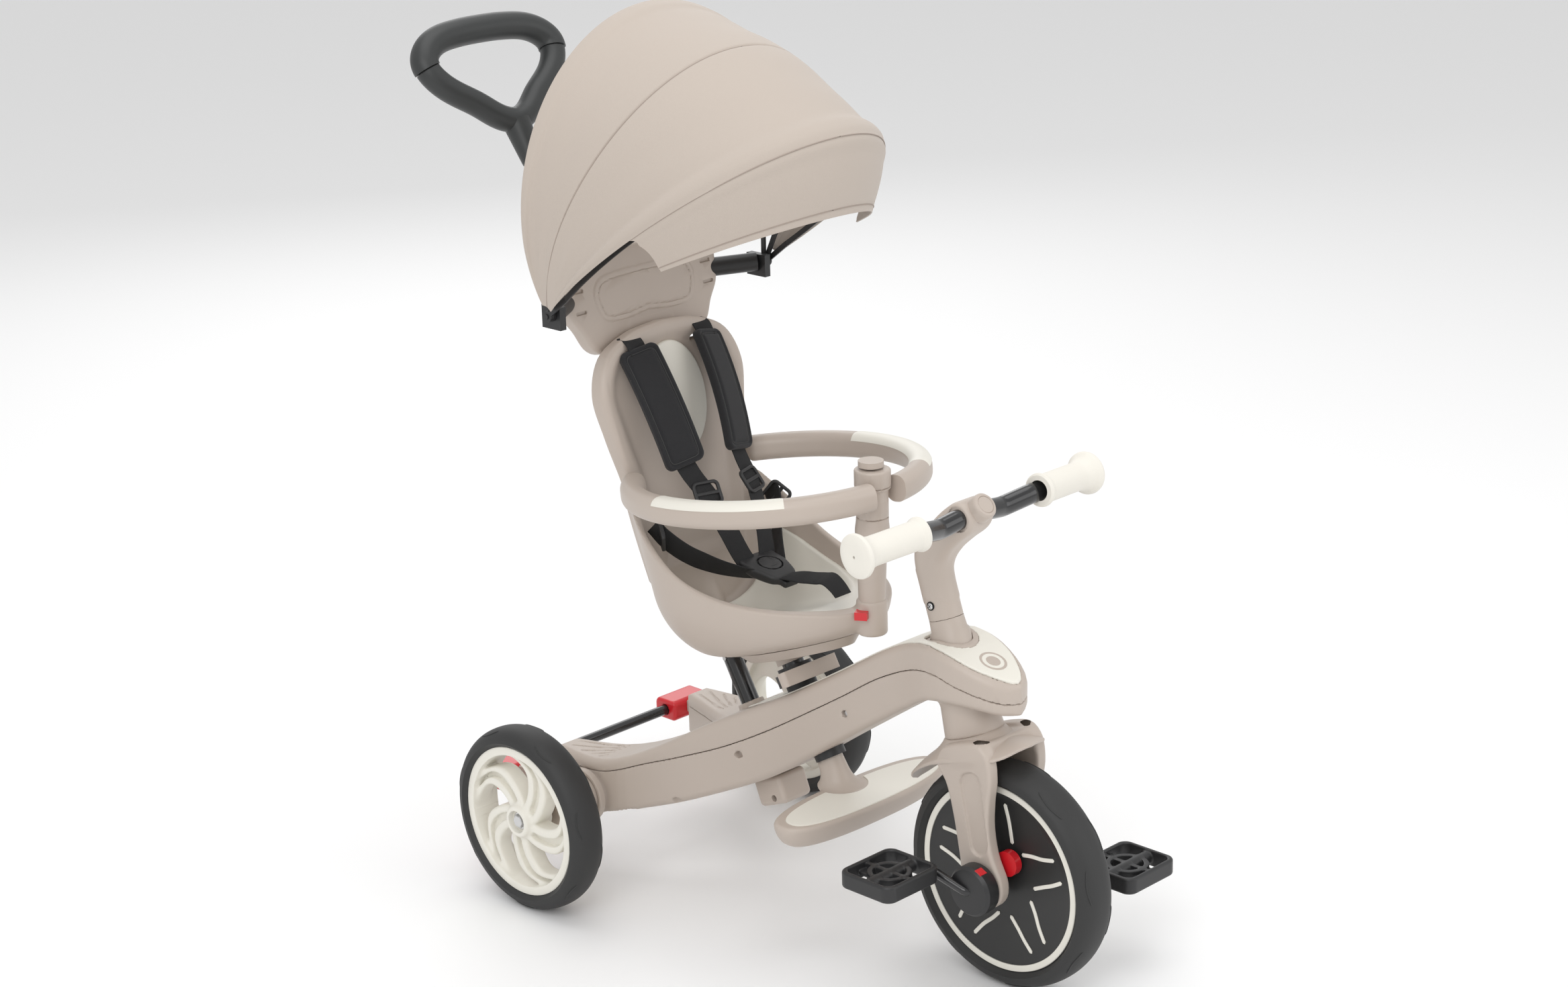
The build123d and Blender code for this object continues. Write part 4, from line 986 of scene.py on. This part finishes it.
def brake_pad_field(x, y, z):
    """The two foot pads on the ends of the brake bar."""
    pad = both(oblong(x + 131, z - 103, 36, 26, 7), np.abs(np.abs(y) - 142) - 29, 4)
    return without(pad, np.hypot(x + 131, z - 103) - 6.8, 0.5)


def brake_arm_field(x, y, z):
    """The lever of each pad, with its eye on the axle housing."""
    eye = np.abs(np.hypot(x, z - REAR_R) - 29.8) - 2.2
    arm = both(oblong(x + 72, z - 106.5, 84, 16, 3), np.abs(np.abs(y) - 138) - 4, 1)
    eye = both(eye, np.abs(np.abs(y) - 138) - 4, 1)
    return without(either(eye, arm, 4), np.hypot(x, z - REAR_R) - 27.5, 0.4)


def make_brake():
    solid("brake pads", brake_pad_field, (-150, -172, 89), (-112, 172, 117), coarse(1.3), RED, "brake", keep=0.5,
          stands_for=["brake_pedals"])
    solid("brake arms", brake_arm_field, (-116, -143, 76), (33, 143, 141), coarse(1.3), TAUPE, "brake", keep=0.5)


# ---- wheels ------------------------------------------------------------------------------------

BEAD_LIP = 5.0                # from the rim up to the widest part of a tyre
CROWN = 2.3                   # squareness of a tyre section


def star(x, y, angle):
    """Rotate plane coordinates by -angle degrees."""
    a = radians(angle)
    return x * cos(a) + y * sin(a), -x * sin(a) + y * cos(a)


SPOKE = curve([(0, 20), (22, 38), (44, 52), (62, 64), (78, 90)], 60)   # radius and turn of a spoke's middle


def rear_rim_field(p, q, h):
    """Cream wheel in the wheel's plane (p, q), h outwards from its middle."""
    r = np.hypot(p, q)
    band = both(np.abs(r - 83.5) - 5.1, np.abs(h) - 18.5, 1.5)
    hub = both(r - 18.5, np.abs(h - 1) - 20, 3)
    f = either(band, hub, 1)
    turned = np.degrees(np.arctan2(q, p)) - np.interp(r, SPOKE[:, 0], SPOKE[:, 1])
    off = np.radians((turned + 36) % 72 - 36) * r * 0.86
    share = np.clip(r / 84, 0, 1)
    face = 13.5 - 4.5 * share
    arm = both(both(np.abs(off) - 11.5 - 9 * share ** 2, r - 84, 2), np.abs(h - 2) - face, 4)
    f = either(f, arm, 7)
    groove = both(both(np.abs(off) - 2.6 - 3.4 * share, np.abs(r - 50) - 28, 3), face - 5.5 - h, 1)
    f = without(f, groove, 2)
    f = without(f, both(r - 13, 14 - h, 1), 1)
    return without(f, both(r - 5.2, 0 * h - 60), 0.3)


def tyre_profile(outer, half, inner, bead, count=28):
    """Rounded tyre section as (radius, offset), a closed loop from one bead to the other."""
    depth = outer - inner - BEAD_LIP
    t = np.linspace(-1, 1, count)
    swell = np.sign(t) * np.abs(t) ** 0.9
    crown = [(outer - depth * (1 - sqrt(1 - min(1, abs(s)) ** CROWN)), half * s) for s in swell]
    low = [(inner, -bead)]
    high = [(inner, bead)]
    return low + crown + high + [(inner - 3, bead - 3), (inner - 3, -bead + 3)]


def tyre(name, place, outer, half, inner, bead, body, marks):
    profile = tyre_profile(outer, half, inner, bead)
    profile.append(profile[0])
    obj = lathe(name, profile, place, TYRE, body, count=144)
    for side in (-1, 1):
        for k in range(marks):
            turn = np.radians(360 / marks * (k + 0.25 * side) + np.linspace(-9, 9, 16))
            off = side * (half * 0.62 + 3.2 * np.cos(np.linspace(-1.6, 1.6, 16)))
            depth = outer - inner - BEAD_LIP
            radius = outer - depth * (1 - np.sqrt(1 - np.abs(off / half) ** CROWN)) + 0.1
            path = place(np.stack([radius * np.cos(turn), radius * np.sin(turn), off], 1))
            ends = rounded_ends(path, 4)
            sweep(f"{name} tread mark {side + 1}{k}", path, oblong_section(1.7, 1.2, 0.5, 3), TYRE, body, side=place(np.array([(0, 0, 1.0)]))[0] - place(np.zeros((1, 3)))[0],
                  scale=ends)
    return obj


def make_rear_wheels():
    for name, side in (("left", 1), ("right", -1)):
        body = "rear_wheel_" + name
        place = along_y(0, REAR_R, side * TRACK, side)

        def field(x, y, z, side=side):
            return rear_rim_field(x * 1.0, (z - REAR_R) * 1.0, (y - side * TRACK) * side)

        solid("rear rim " + name, field, (-90, side * TRACK - 22, REAR_R - 90), (90, side * TRACK + 23, REAR_R + 90),
              coarse(1.5), CREAM, body, keep=0.4, stands_for=["rear_rim_" + name])
        rubber = tyre("rear tyre " + name, place, REAR_R, 22.7, 88.7, 17.5, body, 7)
        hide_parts("rear_tyre_" + name)
        for part, r0, r1, h0, h1, paint in (("washer", 0, 10.5, 14, 15.2, BRIGHT), ("nut", 0, 7.5, 15.2, 19, BRIGHT)):
            count = 6 if part == "nut" else 40
            lathe(f"rear {part} {name}", [(0, h0), (r1, h0), (r1, h1 - 0.5), (r1 - 0.6, h1), (0, h1)], place, paint, body, count=count)


def make_front_wheel():
    place = along_y(HUB[0], HUB[1])
    rubber = tyre("front tyre", place, 127, 25.8, 106.4, 18.5, "front_wheel", 8)
    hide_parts("front_tyre")
    face = [(0, 15.5), (22, 15.5), (30, 13), (60, 14.5), (88, 17.5), (97, 18.8), (98.2, 19.4), (98.4, 18.6)]
    lip = [(105.9, 18.6), (106.4, 19.8), (107.2, 19.2)]
    half = face + [(98.5, 18.4), (105.8, 18.4)] + lip
    profile = half + [(107.4, 0)] + [(r, -h) for r, h in half[::-1]]
    disc = lathe("front wheel disc", profile, place, DISC, "front_wheel", count=144, stands_for=["front_disc"])
    for side in (-1, 1):
        ring = [(98.6, 17.5), (98.6, 19.9), (99.2, 20.4), (105.2, 20.4), (105.8, 19.9), (105.8, 17.5), (98.6, 17.5)]
        band = lathe(f"front ring {side + 1}", [(r, side * h) for r, h in ring], place, CREAM, "front_wheel", count=144)
        if side > 0:
            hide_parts("front_ring")
        strokes = (((85, 88), (81, 72), (77, 58), (70, 44)), ((50, 43), (41, 54), (33, 68), (29, 86)))
        for k in range(5):
            for n, stroke in enumerate(strokes):
                points = []
                for angle, r in stroke:
                    a = radians(angle - 72 * k)
                    points.append((r * cos(a), r * sin(a)))
                line = curve(points, 26)
                radius = np.hypot(line[:, 0], line[:, 1])
                level = np.interp(radius, [24, 30, 60, 88, 97], [14.5, 13, 14.5, 17.5, 18.8]) + 0.5
                if side > 0:
                    line = line * (-1, 1)
                path = np.stack([HUB[0] + line[:, 0], side * level, HUB[1] + line[:, 1]], 1)
                sweep(f"stroke {side + 1}{k}{n}", path, oblong_section(1.6, 4.4, 0.7, 4), CREAM, "front_wheel", side=(0, 1, 0),
                      scale=rounded_ends(path, 2.2))
    for name, body, side in (("near", "crankset", -1), ("far", "crankset", 1)):
        hub = [(0, 0), (27.5, 0), (28, 1), (28, 15), (25, 18.5), (12, 19.5), (0, 19.5)]
        where = along_y(HUB[0], HUB[1], side * 50.5, side)
        cover = lathe("crank cover " + name, hub, where, BLACK, body, count=72)
        if side < 0:
            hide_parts("crank_covers")


# ---- small fittings ----------------------------------------------------------------------------

def capsule_chain(points, radius, x, y, z, blend=4):
    f = None
    for a, b in zip(points, points[1:]):
        part = capsule(x, y, z, a, b, radius, radius)
        f = part if f is None else either(f, part, blend)
    return f


def footrest_field(x, y, z):
    """Boat-shaped tread across the tricycle with a flared stalk."""
    t = np.clip((158 - z) / 28, 0, 1)
    long, wide = 130 - 14 * t ** 2, 39 - 9 * t ** 2
    cx = 314 - 3 * t
    ex, ey = np.abs((x - cx) / wide), np.abs(y / long)
    p = (ex ** 2.5 + ey ** 2.5 + 1e-9) ** (1 / 2.5)
    slope = np.sqrt((ex ** 1.5 / wide) ** 2 + (ey ** 1.5 / long) ** 2 + 1e-12) * p ** -1.5
    f = both((p - 1) / np.maximum(slope, 1 / 200), np.abs(z - 143.5) - 14.5, 5)
    stalk = capsule(x, y, z, (281, 0, 156), (266, 0, 186), 17, 14)
    flare = 26 * np.exp(-np.clip(z - 157, 0, 60) / 9)
    axis_x = 281 - (z - 158) * 0.65
    skirt = both(np.hypot(x - axis_x, y) - 14 - 0.5 * flare, np.abs(z - 168) - 14, 1)
    return either(f, either(stalk, skirt, 3), 3)


def footrest_top_field(x, y, z):
    long, wide = 118, 31
    ex, ey = np.abs((x - 317) / wide), np.abs(y / long)
    p = (ex ** 2.4 + ey ** 2.4 + 1e-9) ** (1 / 2.4)
    slope = np.sqrt((ex ** 1.4 / wide) ** 2 + (ey ** 1.4 / long) ** 2 + 1e-12) * p ** -1.4
    f = both((p - 1) / np.maximum(slope, 1 / 200), np.abs(z - 157.2) - 1.8, 0.8)
    return without(f, np.hypot(x - 281, y) - 31, 0.5)


def pedal_field(x, y, z, cx, cy, cz):
    """Open pedal: rounded frame, cross bars and the pin's tube."""
    px, py, pz = x - cx, y - cy, z - cz
    frame_f = both(oblong(px, py, 74, 82, 12), np.abs(pz) - 9.5 + 2 * (np.hypot(px / 37, py / 41) < 0), 3)
    well = oblong(px, py, 63, 71, 9)
    f = without(frame_f, well, 2)
    tube_f = both(np.hypot(px, pz) - 7.5, np.abs(py) - 38, 1)
    bars = both(both(np.abs(np.hypot(px, py) - 21) - 3, np.abs(pz) - 6, 1), well)
    bars = either(bars, both(both(np.abs(py) - 3, np.abs(pz) - 6, 1), well), 2)
    web = both(both(np.abs(pz + 1) - 2, oblong(np.abs(px) - 24, py, 16, 30, 5), 0.5), well)
    return either(either(f, tube_f, 3), np.minimum(bars, web), 2)


def make_fittings():
    rest = solid("footrest", footrest_field, (260, -134, 126), (358, 134, 200), coarse(1.7), TAUPE, "footrest", keep=0.4,
                 stands_for=["footrest_rim"])
    solid("footrest tread", footrest_top_field, (282, -122, 153), (352, 122, 161), coarse(1.1), CREAM, "footrest", keep=0.4,
          stands_for=["footrest_top"])
    near, far = (480.0, -128.0, 142.0), (2 * HUB[0] - 473.2, 128.0, 104.6)
    near = (HUB[0] + 62 * cos(radians(158.8)), -128.0, HUB[1] + 62 * sin(radians(158.8)))
    far = (2 * HUB[0] - near[0], 128.0, 2 * HUB[1] - near[2])
    for name, spot in (("right", near), ("left", far)):
        def field(x, y, z, spot=spot):
            return pedal_field(x, y, z, *spot)

        low = (spot[0] - 38, spot[1] - 42, spot[2] - 11)
        high = (spot[0] + 38, spot[1] + 42, spot[2] + 11)
        solid("pedal " + name, field, low, high, coarse(1.1), BLACK, "pedal_" + name, keep=0.5,
              stands_for=["pedal_" + name])



# ---- camera, lights and floor ------------------------------------------------------------------

def make_stage():
    scene = bpy.context.scene
    camera = bpy.data.cameras.new("camera")
    camera.lens = 67.424
    camera.sensor_width = 36.0
    camera.shift_x = -0.00887
    camera.shift_y = -0.00064
    camera.clip_end = 100
    eye = bpy.data.objects.new("camera", camera)
    right, up, back = (0.715291, 0.698416, -0.023961), (-0.197906, 0.235333, 0.951552), (0.670218, -0.675894, 0.306552)
    place = Matrix([(right[i], up[i], back[i], 0) for i in range(3)] + [(0, 0, 0, 1)])
    place.translation = ((2397.247 - MID_X) / 1000, -2.190857, 1.48402)
    eye.matrix_world = place
    scene.collection.objects.link(eye)
    scene.camera = eye

    world = bpy.data.worlds.new("studio")
    world.use_nodes = True
    world.node_tree.nodes["Background"].inputs["Color"].default_value = (1, 1, 1, 1)
    world.node_tree.nodes["Background"].inputs["Strength"].default_value = 0.72
    scene.world = world
    for name, spot, aim, size, power in (
            ("key", (1.6, -2.6, 2.8), (0, 0, 0.4), 2.2, 42),
            ("fill", (3.2, 1.6, 1.8), (0, 0, 0.4), 2.4, 22),
            ("top", (-0.2, 0.2, 3.4), (0, 0, 0.4), 2.6, 30),
            ("rim", (-2.6, 1.8, 2.0), (0, 0, 0.5), 1.8, 16)):
        light = bpy.data.lights.new(name, "AREA")
        light.size = size
        light.energy = power
        lamp = bpy.data.objects.new(name, light)
        lamp.location = spot
        lamp.rotation_euler = (Vector(aim) - Vector(spot)).to_track_quat("-Z", "Y").to_euler()
        scene.collection.objects.link(lamp)
    scene.view_settings.view_transform = "Standard"

    ground = bpy.data.meshes.new("floor")
    ground.from_pydata([(-9, -9, 0), (9, -9, 0), (9, 9, 0), (-9, 9, 0)], [], [(0, 1, 2, 3)])
    floor = bpy.data.objects.new("floor", ground)
    ground.materials.append(material("pale floor", (0.93, 0.93, 0.93), 0.8))
    scene.collection.objects.link(floor)


def paint_nodes():
    """Materials for the CAD nodes that stay in view."""
    paints = {"frame_fasteners": BRIGHT, "rear_axle": BRIGHT, "seat_post": STEEL, "pole_tube": STEEL,
              "handle_pole": STEEL, "brake_rod": STEEL, "post_socket": BLACK, "steering_bushes": BLACK,
              "crank": STEEL, "mid_bow": BLACK, "rear_bow": BLACK, "front_bow": BLACK, "handlebar": STEEL,
              "steering_tube": TAUPE, "seat_tray": TAUPE, "guard_button": TAUPE, "guard_post": TAUPE,
              "release_button": RED, "clutch_button": RED, "crank_button_left": RED, "crank_button_right": RED,
              "fold_latch": TAUPE, "clamp_band": BLACK, "clamp_lever": TAUPE, "brake_pedals": RED,
              "front_disc": DISC, "front_ring": CREAM, "rear_rim_left": CREAM, "rear_rim_right": CREAM,
              "crank_covers": BLACK, "canopy_arms": BLACK, "buckle": BLACK, "buckle_button": BLACK,
              "strap_adjusters": BLACK, "knob": TAUPE, "fork": TAUPE, "mudguard": TAUPE, "neck": TAUPE,
              "handlebar_grips": SOFT_CREAM, "pedal_left": BLACK, "pedal_right": BLACK, "footrest_rim": TAUPE,
              "footrest_top": CREAM, "guard_arm_left": TAUPE, "guard_arm_right": TAUPE, "handle_loop": HANDLE,
              "handle_grip": HANDLE, "front_tyre": TYRE, "rear_tyre_left": TYRE, "rear_tyre_right": TYRE,
              "shoulder_pads": PADDING, "harness_straps": WEB}
    for name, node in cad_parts.items():
        if name in paints:
            node.data.materials.clear()
            node.data.materials.append(paints[name])


make_stage()
paint_nodes()
make_frame()
make_seat()
make_headrest()
make_canopy()
make_steering()
make_guard()
post = solid("guard post", post_field, (312, -26, 362), (364, 26, 545), coarse(1.4), TAUPE, "seat", keep=0.5,
             stands_for=["guard_post"])
make_harness()
make_brake()
make_rear_wheels()
make_front_wheel()
make_fittings()
